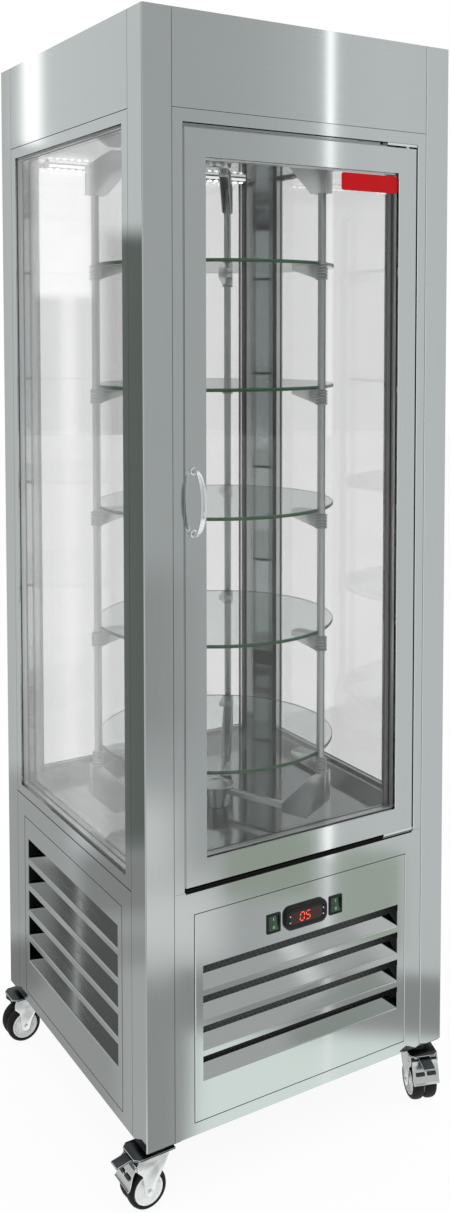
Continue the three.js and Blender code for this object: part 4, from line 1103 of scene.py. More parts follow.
@dataclass
class GlazingBead:
    """Upright stainless beads that hold a window's glass from inside, next to the corner posts."""

    near: float = 236.0
    far: float = 249.5
    inner: float = 276.2
    outer: float = 279.4
    low: float = 522.0
    high: float = 1713.5

    def build(self, shop: Workshop) -> None:
        """Makes both beads of the three windows."""
        for side in WINDOWS:
            draft = Draft()
            for left, right in ((-self.far, -self.near), (self.near, self.far)):
                draft.block((left, -self.outer, self.low), (right, -self.inner, self.high))
            beads = draft.eased(0.4, 1).turned(side.value)
            shop.piece(f"glazing_bead_{side.name.lower()}", beads, (STEEL_BEAD,), "cabinet", "brushed_steel")


@dataclass
class BowHandle:
    """Chrome bow on two feet, thicker in its middle."""

    x: float = -213.5
    top: float = 1177.0
    bottom: float = 1073.0
    face: float = -300.3
    reach: float = 36.5
    width: float = 10.0
    depth: float = 6.0
    steps: int = 40
    # Profile of a foot, as radius and distance from the door
    foot: tuple[Flat, ...] = ((0, 0), (6.2, 0), (6.2, -1.2), (4.6, -2.4), (4.2, -7), (3.4, -9.2), (0, -9.6))

    def build(self, shop: Workshop) -> None:
        """Makes the handle in place of its CAD node."""
        middle, half = (self.top + self.bottom) / 2, (self.top - self.bottom) / 2
        path = []
        for i in range(self.steps + 1):
            turn = math.pi * (i / self.steps - 0.5)
            y = self.face - 3.5 - (self.reach - 7.0) * math.cos(turn)
            path.append(Vector((self.x, y, middle + half * math.sin(turn))))
        rings = []
        across = Vector((1.0, 0.0, 0.0))
        for i, point in enumerate(path):
            ahead = path[min(i + 1, self.steps)] - path[max(i - 1, 0)]
            up = ahead.normalized().cross(across).normalized()
            radius = self.width / 2 * (0.8 + 0.25 * math.sin(math.pi * i / self.steps))
            section = arc((0.0, 0.0), radius, 0.0, 337.5, 15, self.depth / self.width)
            rings.append([tuple(point + across * u + up * v) for u, v in section])
        draft = Draft()
        draft.loft(rings)
        for level in (self.top - 3.0, self.bottom + 3.0):
            draft.lathe(self.foot, 24, "y", (self.x, self.face, level))
        shop.piece("door_bow_handle", draft, (CHROME,), "door", "chrome", "door_handle")


@dataclass
class DoorPlate:
    """Bare red film where the name plate is on the door glass."""

    width: float = 118.6
    height: float = 29.4
    middle: Flat = (130.3, 1642.1)
    corner: float = 5.0
    glass: float = -296.72

    def build(self, shop: Workshop) -> None:
        """Makes the plate on the outer pane."""
        draft = Draft()
        outline = rounded(self.width, self.height, self.corner, self.middle)
        draft.prism(outline, self.glass - 0.5, self.glass, "y")
        shop.piece("bare_red_plate", draft.eased(0.15, 1), (FILM_RED,), "door", "clear_glass")


@dataclass(frozen=True)
class Spider:
    """One end of the carousel: level of the hub's datum, arms and gussets, and profile of the hub."""

    name: str
    level: float
    sign: float
    height: float
    arm: float
    gusset: tuple[Flat, ...]
    floor: float
    hub: tuple[Flat, ...]


SPIDERS = (
    Spider(
        name="bottom_spider",
        level=520.0,
        sign=1.0,
        height=94.0,
        arm=525.0,
        gusset=((0, 0), (0, 0.17), (0.7, 0.87), (1, 1), (1, 0.415), (0.55, 0)),
        floor=499.55,
        hub=(
            *((0, -62), (6, -62), (6, 0), (24, 0), (25.2, 1.4), (29.5, 31.45), (30.4, 34.45)),
            *((32.4, 35.25), (33, 36.25), (33, 38.65), (32, 39.45), (24, 39.45), (22.5, 38.25), (0, 38.25)),
        ),
    ),
    Spider(
        name="top_spider",
        level=1710.0,
        sign=-1.0,
        height=80.0,
        arm=1698.0,
        gusset=((0, 0), (0, 0.2), (0.63, 1), (1, 1), (1, 0.35), (0.53, 0)),
        floor=1710.0,
        hub=(
            *((0, -20), (19.5, -20), (21.5, -19), (23, -16.5), (23, -3), (21.5, -0.4), (5, -0.4)),
            *((5, 18), (0, 18)),
        ),
    ),
)


@dataclass
class Carousel:
    """Hub, arms and folded gussets at both ends, three rods and the round shelves."""

    start: float = 54.0
    arms: int = 3
    circle: float = 228.0
    rod: float = 7.0
    rod_low: float = 556.0
    rod_high: float = 1676.0
    ribs: int = 5
    shelf_radius: float = 217.5
    shelf: float = 6.0
    shelves: int = 5
    lowest: float = 636.0
    pitch: float = 218.0
    gusset_in: float = 152.0
    gusset_out: float = 243.5
    gusset_wall: float = 2.0
    gusset_half: float = 9.3
    gap: float = 0.3

    def angles(self) -> list[float]:
        """Gives the turn of each arm in degrees."""
        return [self.start + i * 360.0 / self.arms for i in range(self.arms)]

    def levels(self) -> list[float]:
        """Gives the lower face of each shelf."""
        return [self.lowest + i * self.pitch for i in range(self.shelves)]

    def plates(self, draft: Draft, outline: Sequence[Flat], folds: Sequence[int]) -> None:
        """Draws a folded gusset: a side plate at each hand, and webs along some of its edges.

        Args:
            draft: Draft that it goes to.
            outline: Corners of the side plate as radius and level.
            folds: Numbers of the corners at which a web starts and runs to the next.
        """
        half, wall = self.gusset_half, self.gusset_wall
        for low in (-half, half - wall):
            draft.prism(outline, low, low + wall, "y")
        corners = [Vector(p) for p in outline]
        middle = sum(corners, Vector((0.0, 0.0))) / len(corners)
        for i in folds:
            a, b = corners[i], corners[(i + 1) % len(corners)]
            edge = (b - a).normalized()
            inward = Vector((-edge.y, edge.x))
            if inward.dot(middle - a) < 0:
                inward = -inward
            ring = [tuple(p) for p in (a, b, b + inward * wall, a + inward * wall)]
            draft.prism(ring, -half, half, "y")

    def spider(self, shop: Workshop, end: Spider) -> None:
        """Makes a hub with its arms and gussets.

        Args:
            shop: Workshop that makes the piece.
            end: Which end of the carousel it is.
        """
        width = self.gusset_out - self.gusset_in
        outline = []
        for across, rise in end.gusset:
            outline.append((self.gusset_in + across * width, end.level + end.sign * rise * end.height))
        draft = Draft()
        for angle in self.angles():
            limb = Draft()
            self.plates(limb, outline, (0, 3, 4, 5))
            limb.block((12.0, -5.5, end.arm), (self.gusset_in + 2.0, 5.5, end.arm + 10.0))
            draft.add(limb.eased(0.7).turned(angle))
        draft.lathe(end.hub, 56, at=(0.0, 0.0, end.floor))
        shop.piece(f"{end.name}_folded", draft, (STEEL_BUFFED,), "carousel", "polished_steel", end.name)

    def rods(self, shop: Workshop) -> None:
        """Makes the rods with their ribbed sleeves and wedge brackets."""
        radius, tops = self.rod, [level - self.gap for level in self.levels()]
        profile = [(0.0, self.rod_low), (radius - 0.8, self.rod_low), (radius, self.rod_low + 0.8)]
        for top in tops:
            profile += [(radius, top - 27.0), (8.2, top - 27.0)]
            for rib in range(self.ribs, 0, -1):
                base = top - rib * 5.4
                profile += [(8.2, base + 0.2), (11.2, base + 1.5), (11.5, base + 2.3), (11.2, base + 3.1)]
            profile += [(8.2, top), (radius, top)]
        profile += [(radius, self.rod_high - 0.8), (radius - 0.8, self.rod_high), (0.0, self.rod_high)]
        for number, angle in enumerate(self.angles(), 1):
            rod = Draft()
            rod.lathe(profile, 28, at=(self.circle, 0.0, 0.0), index=1)
            rod.turned(angle)
            for top in tops:
                rod.add(self.bracket(top).turned(angle))
            name = f"carousel_rod_{number}"
            finishes = (STEEL_BUFFED, STEEL_ROD)
            shop.piece(f"{name}_ribbed", rod, finishes, "carousel", "polished_steel", name)

    def bracket(self, level: float) -> Draft:
        """Draws the folded wedge under a shelf, from its inner tip to the rod, pointing along +X."""
        ends = ((174.0, -13.0, 9.0), (self.circle, -8.5, 27.0), (self.circle, 8.5, 27.0), (174.0, 13.0, 9.0))
        draft = Draft()
        draft.loft([[(x, y, level - share * drop) for x, y, drop in ends] for share in (0.0, 1.0)])
        return draft.eased(0.9)

    def discs(self, shop: Workshop) -> None:
        """Makes the glass shelves with ground rims."""
        for number, low in enumerate(self.levels(), 1):
            high, radius = low + self.shelf, self.shelf_radius
            profile = [(0.0, low), (radius - 0.9, low), (radius, low + 0.9), (radius, low + 3.0)]
            profile += [(radius, high - 0.9), (radius - 0.9, high), (0.0, high)]
            draft = Draft()
            draft.lathe(profile, 144)
            for face in draft.mesh.faces:
                middle = face.calc_center_median()
                if math.hypot(middle.x, middle.y) > radius - 1.2:
                    # Lower half of the rim deep green, upper half lighter
                    face.material_index = 1 if middle.z < low + 3.0 else 2
            name, finishes = f"shelf_{number}", (SHELF_GLASS, SHELF_RIM, SHELF_RIM_UPPER)
            shop.piece(f"{name}_glass", draft, finishes, "carousel", "shelf_glass", name)

    def build(self, shop: Workshop) -> None:
        """Makes the whole carousel."""
        for end in SPIDERS:
            self.spider(shop, end)
        self.rods(shop)
        self.discs(shop)


@dataclass
class CeilingLamp:
    """Rail along the back of the ceiling with a row of lit lenses and a diffuser in front."""

    length: float = 440.0
    depth: float = 18.0
    back: float = 269.7
    top: float = 1713.7
    height: float = 9.0
    pitch: float = 14.7

    def build(self, shop: Workshop) -> None:
        """Makes the lamp in place of its CAD node."""
        half, front, low = self.length / 2, self.back - self.depth, self.top - self.height
        rail, lenses, strip = Draft(), Draft(), Draft()
        outline = [(self.back, self.top), (self.back, low + 1.5), (self.back - 3.0, low), (front + 6.0, low)]
        outline += [(front + 3.0, low + 3.0), (front, low + 4.0), (front, self.top)]
        rail.prism(outline, -half, half, "x")
        shop.piece("lamp_rail", rail.eased(0.4, 1), (HUB,), "cabinet", "lamp_white", "lamp_bar")
        count = int(self.length // self.pitch)
        lens = [(0, -2.4), (2.6, -2.1), (4.2, -1), (4.6, 0), (0, 0)]
        for i in range(count):
            lenses.lathe(lens, 16, at=((i + 0.5) * self.length / count - half, self.back - 8.0, low))
        shop.piece("lamp_lenses", lenses, (LED,), "cabinet", "lamp_white")
        outline = [(front + 2.8, low + 2.7), (front - 0.2, low + 3.6)]
        outline += [(front - 0.2, self.top - 1.5), (front + 0.6, self.top - 1.5)]
        strip.prism(outline, 1.5 - half, half - 1.5, "x")
        shop.piece("lamp_diffuser", strip, (DIFFUSER,), "cabinet", "lamp_white")


@dataclass
class Controls:
    """Temperature controller and the two rocker switches of the front panel."""

    level: float = 411.5
    centre: float = -1.0
    width: float = 86.0
    height: float = 40.0
    corner: float = 14.0
    body: float = 35.5
    switch_x: float = 63.0
    switch_width: float = 26.0
    switch_height: float = 31.5
    tilt: float = 6.0
    window: Flat = (64.0, 22.0)
    keys_at: Flat = (33.6, 5.2)
    digit: Flat = (8.0, 14.0)
    digit_pitch: float = 12.0
    stroke: float = 1.7
    # Middle of each segment of a digit in half widths and quarter heights, and whether it lies level
    segments: str = "a 0 2 1,b 1 1 0,c 1 -1 0,d 0 -2 1,e -1 -1 0,f -1 1 0,g 0 0 1"

    def bezel(self, shop: Workshop) -> None:
        """Makes the controller: domed bezel, dark window, lit digits and four small keys."""
        middle = (self.centre, self.level)
        draft, window, keys = Draft(), Draft(), Draft()
        rings = []
        # Steps of the bezel's section: distance inwards from its outline, and y
        for inset, y in ((0.0, -0.3), (0.0, -4.0), (1.2, -6.0), (4.0, -7.0), (7.0, -6.6), (8.4, -4.6)):
            size, corner = (self.width - 2 * inset, self.height - 2 * inset), max(3.0, self.corner - inset)
            rings.append([(x, FACE + y, z) for x, z in rounded(*size, corner, middle)])
        draft.loft(rings)
        left, right = self.centre - self.body, self.centre + self.body
        draft.block((left, FACE - 0.3, self.level - 14.5), (right, FACE + 58.0, self.level + 14.5))
        shop.piece("controller_bezel", draft, (ABS_BLACK,), "cabinet", "black_plastic", "controller")
        window.prism(rounded(*self.window, 4.0, middle), FACE - 5.0, FACE - 4.4, "y")
        shop.piece("controller_window", window.eased(0.2, 1), (WINDOW_DARK,), "cabinet", "black_plastic")
        self.digits(shop)
        dot = [(0, -7.3), (1.1, -7.2), (1.4, -6.2), (0, -6.2)]
        across, rise = self.keys_at
        for x in (self.centre - across, self.centre + across):
            for z in (self.level - rise, self.level + rise):
                keys.lathe(dot, 16, "y", (x, FACE, z))
        shop.piece("controller_keys", keys, (MARK_WHITE,), "cabinet", "black_plastic")

    def digits(self, shop: Workshop) -> None:
        """Draws plain seven-segment numbers in the window."""
        wide, tall = self.digit
        places = {}
        for key, across, rise, level in (row.split() for row in self.segments.split(",")):
            places[key] = (int(across) * wide / 2, int(rise) * tall / 4, level == "1")
        draft = Draft()
        for number, lit in enumerate(("abcdef", "acdfg")):
            middle = self.centre - 8.5 + number * self.digit_pitch
            for key in lit:
                dx, dz, level = places[key]
                long, short = (wide if level else tall / 2) / 2 - 0.9, self.stroke / 2
                ring = [(-long, 0.0), (short - long, short), (long - short, short)]
                ring += [(long, 0.0), (long - short, -short), (short - long, -short)]
                if not level:
                    ring = [(v, u) for u, v in ring]
                x, z = middle + dx + dz * 0.1, self.level + dz
                draft.prism([(x + u + v * 0.1, z + v) for u, v in ring], FACE - 5.25, FACE - 5.0, "y")
        shop.piece("controller_digits", draft, (DIGIT,), "cabinet", "black_plastic")

    def switch(self, shop: Workshop, side: int, name: str, body: str) -> None:
        """Makes one switch: its black rim on the panel and its green rocker.

        Args:
            shop: Workshop that makes the pieces.
            side: -1 for the left switch and 1 for the right one.
            name: CAD node of the rocker.
            body: Body of the rocker.
        """
        x, z = self.centre + side * self.switch_x, self.level
        rim, key, marks = Draft(), Draft(), Draft()
        rings = []
        # Steps of the rim's section: growth of the switch's outline, and y
        for grow, y in ((0.8, -0.05), (0.8, -1.8), (-0.2, -2.4), (-5.4, -2.4), (-6.0, -2.0), (-6.0, -0.05)):
            ring = rounded(self.switch_width + grow, self.switch_height + grow, 1.5)
            rings.append([(u + x, FACE + y, v + z) for u, v in ring])
        rim.loft(rings, closed=True)
        shop.piece(f"{name}_rim", rim, (ABS_BLACK,), "cabinet", "black_plastic")
        half, reach = self.switch_width / 2 - 3.3, self.switch_height / 2 - 3.6
        shares = [k / 6.0 - 1.0 for k in range(13)]
        outline = [(1.7 * (1 - share**2) - 1.6, reach * share) for share in shares]
        outline += [(4.5, reach - 0.6), (8.8, 0.0), (4.5, 0.6 - reach)]
        key.prism(outline, -half, half, "x")
        key.eased(0.45, 2, 40.0)
        marks.block((-0.5, -1.75, 4.6), (0.5, -1.3, 8.6))
        zero = [(1.5, -1.25), (2.3, -1.25), (2.3, -0.8), (1.5, -0.8)]
        marks.lathe(zero, 20, "y", (0.0, -0.25, -6.6), closed=True)
        for draft in (key, marks):
            draft.turned(-self.tilt, axis="X").shifted(x, FACE + 0.6, z)
        shop.piece(f"{name}_green", key, (LENS_GREEN,), body, "green_plastic", name)
        shop.piece(f"{name}_marks", marks, (MARK_WHITE,), body, "green_plastic")

    def build(self, shop: Workshop) -> None:
        """Makes the controller and both switches."""
        self.bezel(shop)
        self.switch(shop, -1, "rocker_switch_left", "left_switch")
        self.switch(shop, 1, "rocker_switch_right", "right_switch")


# Sections of the caster's turned pieces, as radius and distance along the axis
TYRE_LINE = (
    *((25, 2.2), (29.6, 2.2), (31.6, 3.8), (32.7, 6.7), (33, 11.2), (32.6, 16.7), (31, 20.6)),
    *((28.8, 22.4), (26.4, 22.6), (25.4, 21.6), (25, 20.4)),
)
DISC_LINE = (
    *((4.4, 2.8), (25.1, 2.8), (25.1, 20.6), (24.4, 22.1), (22.8, 22.7), (21.4, 22.1), (20.6, 19.8)),
    *((12, 18.8), (9.6, 19.4), (8.6, 22.8), (4.4, 22.9)),
)
CORE_LINE = ((4.4, -3), (12, -3), (12, 3), (4.4, 3))
RACE_LINE = (
    *((8.4, -3), (20, -0.2), (21.6, 0.8), (21.6, 3), (20.4, 3.8), (21, 4.6), (21, 7.4)),
    *((20, 8), (8.4, 8)),
)
AXLE_LINE = (
    *((0, -27.6), (3.6, -27.6), (4.6, -27), (4.6, -26.4), (4, -26.4)),
    *((4, 26.4), (4.6, 26.4), (4.6, 27), (3.6, 27.6), (0, 27.6)),
)


@dataclass
class Caster:
    """Twin-wheel swivel caster, drawn with its wheel trailing towards -X."""

    corner: Corner
    reach: float = 267.0
    trail: float = 24.0
    wheel: float = 33.0
    leg: float = 26.5
    sheet: float = 2.5
    crown: float = 89.4

    def placed(self, draft: Draft) -> Draft:
        """Turns and shifts a draft to its corner."""
        sx, sy, turn, _ = self.corner.value
        return draft.turned(turn).shifted(sx * self.reach, sy * self.reach, 0.0)

    def wheels(self, shop: Workshop, name: str) -> None:
        """Makes the tyres with their light grey hubs."""
        draft = Draft()
        at = (-self.trail, 0.0, self.wheel)
        for side in (-1, 1):
            for index, line in enumerate((TYRE_LINE, DISC_LINE)):
                draft.lathe([(r, side * h) for r, h in line], 56, "y", at, index, closed=True)
        draft.lathe(CORE_LINE, 40, "y", at, 1, closed=True)
        rows = (f"wheel_{name}", "tyre", f"caster_wheel_{name}")
        shop.piece(f"caster_{name}_twin_tyres", self.placed(draft), (TYRE, HUB), *rows)

    def fork(self, shop: Workshop, name: str) -> None:
        """Makes the fork: race, crown, two legs and the axle, and the lever where there is a brake. Crown
        and lever take a darker zinc that paints their shade.
        """
        braked = self.corner.value[3]
        low, crown = self.crown - 3.0, self.crown
        draft = Draft()
        plan = [(22, -26.5), (22, 26.5), (-42, 26.5), (-50, 18.5), (-50, -18.5), (-42, -26.5)]
        draft.prism(plan, low, crown, "z", 1)
        outline = [(-46.0, 80.0), (-46.0, 71.0), (-37.0, 62.0), (-34.2, 50.0), (-33.2, 36.0)]
        outline += arc((-self.trail, self.wheel), 9.0, 195.0, 360.0, 11)
        outline += [(-11.0, 45.0), (-1.0, 62.0), (7.0, 76.0), (12.0, crown), (-42.0, crown)]
        for start in (-self.leg, self.leg - self.sheet):
            draft.prism(outline, start, start + self.sheet, "y", 0)
        if braked:
            lever = [(-25.0, crown), (-75.0, 79.4), (-75.0, 76.9), (-25.0, low)]
            draft.prism(lever, -11.0, 11.0, "y", 1)
        draft.eased(0.6)
        draft.lathe(RACE_LINE, 48, at=(0.0, 0.0, crown), closed=True)
        draft.lathe(AXLE_LINE, 24, "y", (-self.trail, 0.0, self.wheel))
        if braked:
            draft.lathe([(0.0, -27.2), (2.4, -27.0), (2.4, 27.0), (0.0, 27.2)], 16, "y", (-39.0, 0.0, 73.5))
        rows = (f"fork_{name}", "zinc", f"caster_fork_{name}")
        shop.piece(f"caster_{name}_fork_pressed", self.placed(draft), (ZINC, ZINC_SHADED), *rows)

    def pedal(self, shop: Workshop, name: str) -> None:
        """Makes the brake pedal with its two slots and its lip."""
        line = [(-39, 78.2), (-46.5, 78.4), (-50.2, 74), (-54, 67), (-58.5, 49), (-60, 46), (-62.2, 44.2)]
        ear = [(-34.6, 74), (-36.4, 78), (-46, 77.6), (-50, 73), (-47.6, 70.4), (-40, 69), (-35.6, 70.4)]
        slot = [(-56.9, 63.2), (-58.2, 57.4), (-57.8, 57.2), (-56.5, 63)]
        wall = 1.6
        draft, slots = Draft(), Draft()
        for a, b in zip(map(Vector, line), map(Vector, line[1:])):
            half = 23.4 if a.x > -49.0 else 24.5
            edge = (b - a).normalized() * 0.5
            inward = Vector((-edge.y, edge.x)).normalized() * wall
            a, b = a - edge, b + edge
            draft.prism([tuple(a), tuple(b), tuple(b + inward), tuple(a + inward)], -half, half, "y")
        for low in (-23.4, 21.8):
            draft.prism(ear, low, low + wall, "y")
        # The slots are dark prisms on the pedal: painted shade in their openings
        for low in (-18.5, 2.5):
            slots.prism(slot, low, low + 16.0, "y")
        piece, body = f"brake_pedal_{name}", f"pedal_{name}"
        shop.piece(f"{piece}_folded", self.placed(draft.eased(0.35, 1)), (ZINC,), body, "zinc", piece)
        shop.piece(f"{piece}_slots", self.placed(slots), (SEALANT_AND_SHADE,), body, "rubber")

    def build(self, shop: Workshop) -> None:
        """Makes the whole caster."""
        name = self.corner.name.lower()
        self.wheels(shop, name)
        self.fork(shop, name)
        if self.corner.value[3]:
            self.pedal(shop, name)


# Studio


@dataclass(frozen=True)
class Patch:
    """Soft-edged patch of the room as metal sees it: limits round the horizon and in height, in degrees.

    Its level is one number or red, green and blue. A patch with a lean moves sideways by that many
    degrees for each degree of height.
    """

    left: float
    right: float
    low: float
    high: float
    level: float | Point
    edge: float = 1.0
    lean: float = 0.0

    def colour(self) -> Colour:
        """Gives its level as a colour."""
        level = self.level if isinstance(self.level, tuple) else (self.level,) * 3
        return (*level, 1.0)


# Level of the room round the horizon, by the angle from +Y towards +X. The front is at 180
ROOM_ROUND = (
    *((-180, 0.54), (-150, 0.7), (-120, 0.5), (-95, 1), (-75, 0.6), (-45, 0.5), (-32, 0.78), (-22, 0.84)),
    *((-20.8, 0.7), (-19, 0.62), (0, 0.55), (25, 0.65), (45, 0.55), (75, 0.5), (95, 0.95), (120, 0.7)),
    *((138, 0.8), (142, 0.82), (144, 0.78), (146, 0.68), (148, 0.6), (151, 0.57), (180, 0.54)),
)
# Soft boxes, dark gaps and the white floor that the sheet metal shows in the photograph
ROOM_PATCHES = (
    Patch(-200, 200, -95, -34, 1, 2.5),
    # Seen by the front face
    Patch(151.5, 170, -19, -11.5, 0.45, 1.5),
    Patch(146.6, 149.4, -20, -1.5, 0.42),
    Patch(149.6, 170, -28.3, -25, 0.95, 1.3),
    Patch(151.8, 170, -25, -21.5, 0.9, 1.3),
    Patch(145.2, 149.6, -25.7, -22.7, (0.46, 0.51, 0.43), 0.4),
    Patch(141, 144.3, -27.6, -23.6, (0.52, 0.57, 0.5), 0.4),
    Patch(136, 151.2, -60, -30.8, (1.1, 1.17, 1.13), 0.6),
    Patch(151.4, 170, -36, -29, 0.43, 0.7),
    Patch(136, 152, -30.8, -28.5, 0.4, 0.3),
    Patch(144.43, 144.713, -24, 24, 2.7, 0.1),
    Patch(144.46, 144.69, -60, -24, 1.4, 0.1),
    # Seen by the blades of the front panel
    Patch(134, 160, 24, 60, 0.58),
    Patch(141.6, 147, 24, 29.9, (0.4, 0.43, 0.4), 0.5),
    Patch(134, 141.4, 24, 60, 0.74, 0.4),
    Patch(144, 145, 30.4, 60, 1, 0.3),
    # Seen by the left face and the left window
    Patch(-23.5, -22.8, -20, 7.9, 1.2, 0.3),
    Patch(-24.25, -21.7, 1.5, 7.9, 1.5, 0.3),
    Patch(-31, -24.8, -24, 4.5, (0.16, 0.18, 0.165), 0.6),
    Patch(-32, -18, -60, -26.5, 0.44),
    Patch(-32, -25.2, -60, -28.3, 0.57, 0.5),
    Patch(-32, -23.2, -26.5, -23.5, 0.34, 0.8),
    Patch(-23.2, -19, -26.5, -20, 0.5, 0.6),
    Patch(-21.7, -19.5, -29, -27, 0.28, 0.5),
    Patch(-22, -21.1, 8.4, 30, 1.9, 0.25),
    # Seen by the blades of the left panel: dark, lighter at one end, with a slanting glint
    Patch(-60, -30.4, 6, 40, 0.13, 0.4),
    Patch(-34.3, -31, 6, 10.6, 0.32, 0.7, 1.3),
    Patch(-34.5, -34.28, 6, 13.7, 1.15, 0.1, 1.6),
)


@dataclass
class Studio:
    """Camera of the photograph, pale floor and soft light."""

    camera: Point = (-1123.916, -1944.18, 1395.944)
    yaw: float = math.radians(31.633)
    pitch: float = math.radians(-3.094)
    focal: float = 1209.344
    centre: Flat = (249.27, 394.253)
    frame: Flat = (450.0, 1213.0)
    sensor: float = 36.0

    def shoot(self, datum: Datum) -> None:
        """Sets the camera up as the photograph was taken."""
        level = math.cos(self.pitch)
        ahead = Vector((math.sin(self.yaw) * level, math.cos(self.yaw) * level, math.sin(self.pitch)))
        right = ahead.cross(Vector((0.0, 0.0, 1.0))).normalized()
        lens = bpy.data.cameras.new("camera")
        lens.sensor_width = self.sensor
        lens.lens = self.focal * self.sensor / self.frame[1]
        lens.shift_x = (self.frame[0] / 2 - self.centre[0]) / self.frame[1]
        lens.shift_y = (self.centre[1] - self.frame[1] / 2) / self.frame[1]
        lens.clip_end = 100.0
        view = bpy.data.objects.new("camera", lens)
        turn = Matrix((right, right.cross(ahead), -ahead)).transposed().to_4x4()
        view.matrix_world = Matrix.Translation(datum.matrix() @ Vector(self.camera)) @ turn
        bpy.context.scene.collection.objects.link(view)
        bpy.context.scene.camera = view

    def floor(self) -> None:
        """Lays the pale floor, which looks white and still takes a soft shadow."""
        made = bpy.data.materials.new("studio floor")
        made.use_nodes = True
        tree = made.node_tree
        tree.nodes.clear()
        place = add_node(tree, "ShaderNodeTexCoord").outputs["Object"]
        speckle = add_node(tree, "ShaderNodeTexNoise", {"Vector": place, "Scale": 40.0})
        tone = blend(tree, speckle.outputs["Fac"], linear("f8f9f9"), linear("fcfdfd"))
        matt = add_node(tree, "ShaderNodeBsdfDiffuse", {"Color": tone})
        glow = add_node(tree, "ShaderNodeEmission", {"Color": (1.0, 1.0, 1.0, 1.0), "Strength": 1.0})
        # What the camera sees, also by mirrors and through glass, is white. Light on matt things isn't
        rays = add_node(tree, "ShaderNodeLightPath").outputs
        plain = calc(tree, "MAXIMUM", rays["Is Camera Ray"], rays["Is Transmission Ray"])
        share = calc(tree, "MULTIPLY", calc(tree, "MAXIMUM", plain, rays["Is Glossy Ray"]), 0.93)
        mix = add_node(tree, "ShaderNodeMixShader", {0: share, 1: matt.outputs[0], 2: glow.outputs[0]})
        add_node(tree, "ShaderNodeOutputMaterial", {"Surface": mix.outputs[0]})
        mesh = bpy.data.meshes.new("studio_floor")
        draft = bmesh.new()
        bmesh.ops.create_circle(draft, cap_ends=True, radius=14.0, segments=64)
        draft.to_mesh(mesh)
        draft.free()
        mesh.materials.append(made)
        ground = bpy.data.objects.new("studio_floor", mesh)
        ground.location = (0.0, 0.0, -0.0005)
        ground.visible_glossy = False
        bpy.context.scene.collection.objects.link(ground)

    def window(self, tree: Tree, angle: Socket, low: float, high: float, edge: float) -> Socket:
        """Gives 1 where an angle lies between two limits and 0 outside, with a soft edge.

        Args:
            tree: Node tree of the world.
            angle: Angle in degrees.
            low: Lower limit in degrees.
            high: Upper limit in degrees.
            edge: Half the width of the soft edge in degrees.

        Returns:
            The share.
        """
        half = (high - low) / 2
        away = calc(tree, "ABSOLUTE", calc(tree, "SUBTRACT", angle, (low + high) / 2))
        return span(tree, away, (half + edge, half - edge), interpolation_type="SMOOTHSTEP")

    def room(self, tree: Tree) -> Socket:
        """Draws the room as the metal sees it, from its rounds and patches."""
        way = add_node(tree, "ShaderNodeTexCoord").outputs["Generated"]
        x, y, z = add_node(tree, "ShaderNodeSeparateXYZ", {0: way}).outputs
        across = calc(tree, "DEGREES", calc(tree, "ARCTAN2", x, y))
        height = calc(tree, "DEGREES", calc(tree, "ARCSINE", z))
        ramp = add_node(tree, "ShaderNodeValToRGB", {0: span(tree, across, (-180.0, 180.0))})
        elements = ramp.color_ramp.elements
        while len(elements) < len(ROOM_ROUND):
            elements.new(0.5)
        for element, (degrees, value) in zip(elements, ROOM_ROUND):
            element.position = (degrees + 180.0) / 360.0
            element.color = (value * 0.985, value, value * 1.005, 1.0)
        lifted = span(tree, height, (18.0, 40.0), (1.0, 1.35))
        room = blend(tree, 1.0, ramp.outputs[0], lifted, blend_type="MULTIPLY")
        for patch in ROOM_PATCHES:
            along = calc(tree, "MULTIPLY_ADD", height, -patch.lean, across)
            shift = -patch.lean * (patch.low + patch.high) / 2
            wide = self.window(tree, along, patch.left + shift, patch.right + shift, patch.edge)
            tall = self.window(tree, height, patch.low, patch.high, patch.edge)
            room = blend(tree, calc(tree, "MULTIPLY", wide, tall), room, patch.colour())
        return room

    def sky(self) -> None:
        """Makes the room: white where it is looked at, plain for light, lively in the metal."""
        world = bpy.data.worlds.new("studio")
        world.use_nodes = True
        bpy.context.scene.world = world
        tree = world.node_tree
        tree.nodes.clear()
        colours = ((self.room(tree), 1.0), (linear("fbfcfd"), 0.7), ((1.0, 1.0, 1.0, 1.0), 1.0))
        mirror, plain, white = (
            add_node(tree, "ShaderNodeBackground", {"Color": colour, "Strength": strength}).outputs[0]
            for colour, strength in colours
        )
        rays = add_node(tree, "ShaderNodeLightPath").outputs
        first = calc(tree, "LESS_THAN", calc(tree, "ADD", rays["Glossy Depth"], rays["Diffuse Depth"]), 0.5)
        clear = calc(tree, "MULTIPLY", rays["Is Transmission Ray"], first)
        seen = calc(tree, "MAXIMUM", rays["Is Camera Ray"], clear)
        late = calc(tree, "GREATER_THAN", rays["Glossy Depth"], 0.5)
        mirrored = calc(tree, "MAXIMUM", rays["Is Glossy Ray"], late)
        lit = add_node(tree, "ShaderNodeMixShader", {0: mirrored, 1: plain, 2: mirror})
        mix = add_node(tree, "ShaderNodeMixShader", {0: seen, 1: lit.outputs[0], 2: white})
        add_node(tree, "ShaderNodeOutputWorld", {"Surface": mix.outputs[0]})

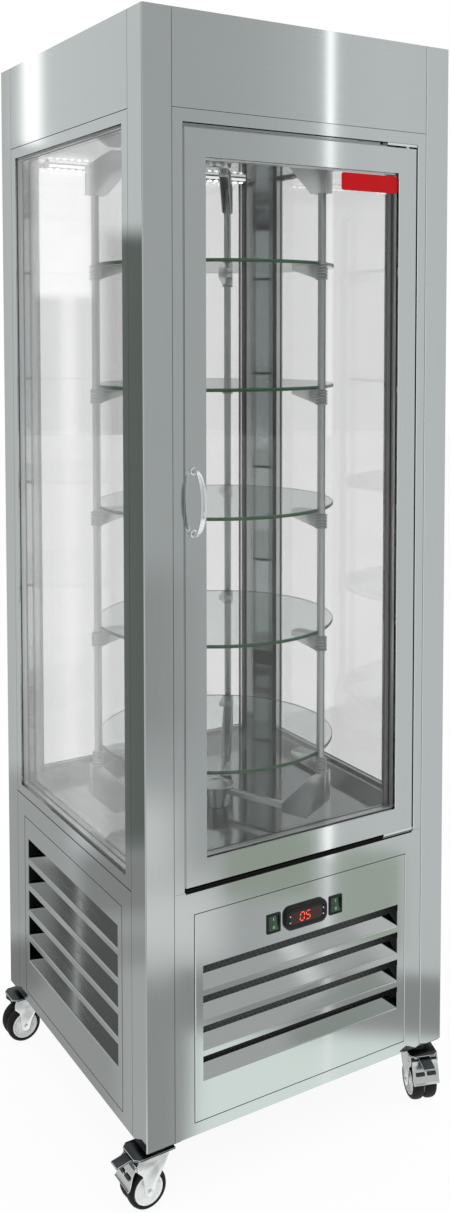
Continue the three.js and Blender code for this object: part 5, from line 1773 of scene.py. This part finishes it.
    def lamp(self, name: str, at: Point, to: Point, size: Flat, power: float) -> None:
        """Hangs a soft box that neither metal nor glass shows.

        Args:
            name: Name of the lamp.
            at: Its place in metres.
            to: Point that it faces.
            size: Width and height in metres.
            power: Power in watts.
        """
        light = bpy.data.lights.new(name, "AREA")
        light.shape = "RECTANGLE"
        light.size, light.size_y = size
        light.energy = power
        made = bpy.data.objects.new(name, light)
        made.location = at
        made.rotation_euler = (Vector(to) - Vector(at)).to_track_quat("-Z", "Y").to_euler()
        made.visible_glossy = False
        made.visible_transmission = False
        bpy.context.scene.collection.objects.link(made)

    def build(self, datum: Datum) -> None:
        """Sets camera, floor, room and lamps."""
        self.shoot(datum)
        self.floor()
        self.sky()
        self.lamp("key", (-2.6, -3.0, 3.4), (0.0, 0.0, 1.0), (2.0, 2.0), 55.0)
        self.lamp("fill", (3.2, -2.2, 2.2), (0.0, 0.0, 1.0), (2.4, 2.4), 30.0)
        self.lamp("top", (0.0, 0.0, 4.2), (0.0, 0.0, 0.0), (2.6, 2.6), 45.0)
        bpy.context.scene.view_settings.view_transform = "Standard"
        cycles = bpy.context.scene.cycles
        cycles.use_denoising = True
        cycles.max_bounces = 26
        cycles.transmission_bounces = 24
        cycles.transparent_max_bounces = 24
        cycles.glossy_bounces = 8
        LOG.info("studio ready")


def main() -> None:
    """Builds the scene round the CAD frame, sub-assembly by sub-assembly."""
    logging.basicConfig(level=logging.INFO, format="%(name)s: %(message)s")
    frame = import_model()
    datum = Datum()
    shop = Workshop(datum)
    Studio().build(datum)
    CabinetShell((datum.x, datum.y)).build(shop, frame["nodes"])
    LouvredPanel(Side.FRONT, FRONT_HOLES, count=4).build(shop)
    for side in WINDOWS:
        LouvredPanel(side).build(shop)
    EdgeLines().build(shop)
    PanelSeam().build(shop)
    GlazingBead().build(shop)
    for side in WINDOWS:
        word = side.name.lower()
        WINDOW_UNIT.build(shop, f"glazing_{word}", f"glass_unit_{word}", "cabinet", side)
    DOOR_UNIT.build(shop, "glazing_door", "door_glass", "door", Side.FRONT)
    BowHandle().build(shop)
    DoorPlate().build(shop)
    Carousel().build(shop)
    CeilingLamp().build(shop)
    Controls().build(shop)
    for corner in Corner:
        Caster(corner).build(shop)


if __name__ == "__main__":
    main()
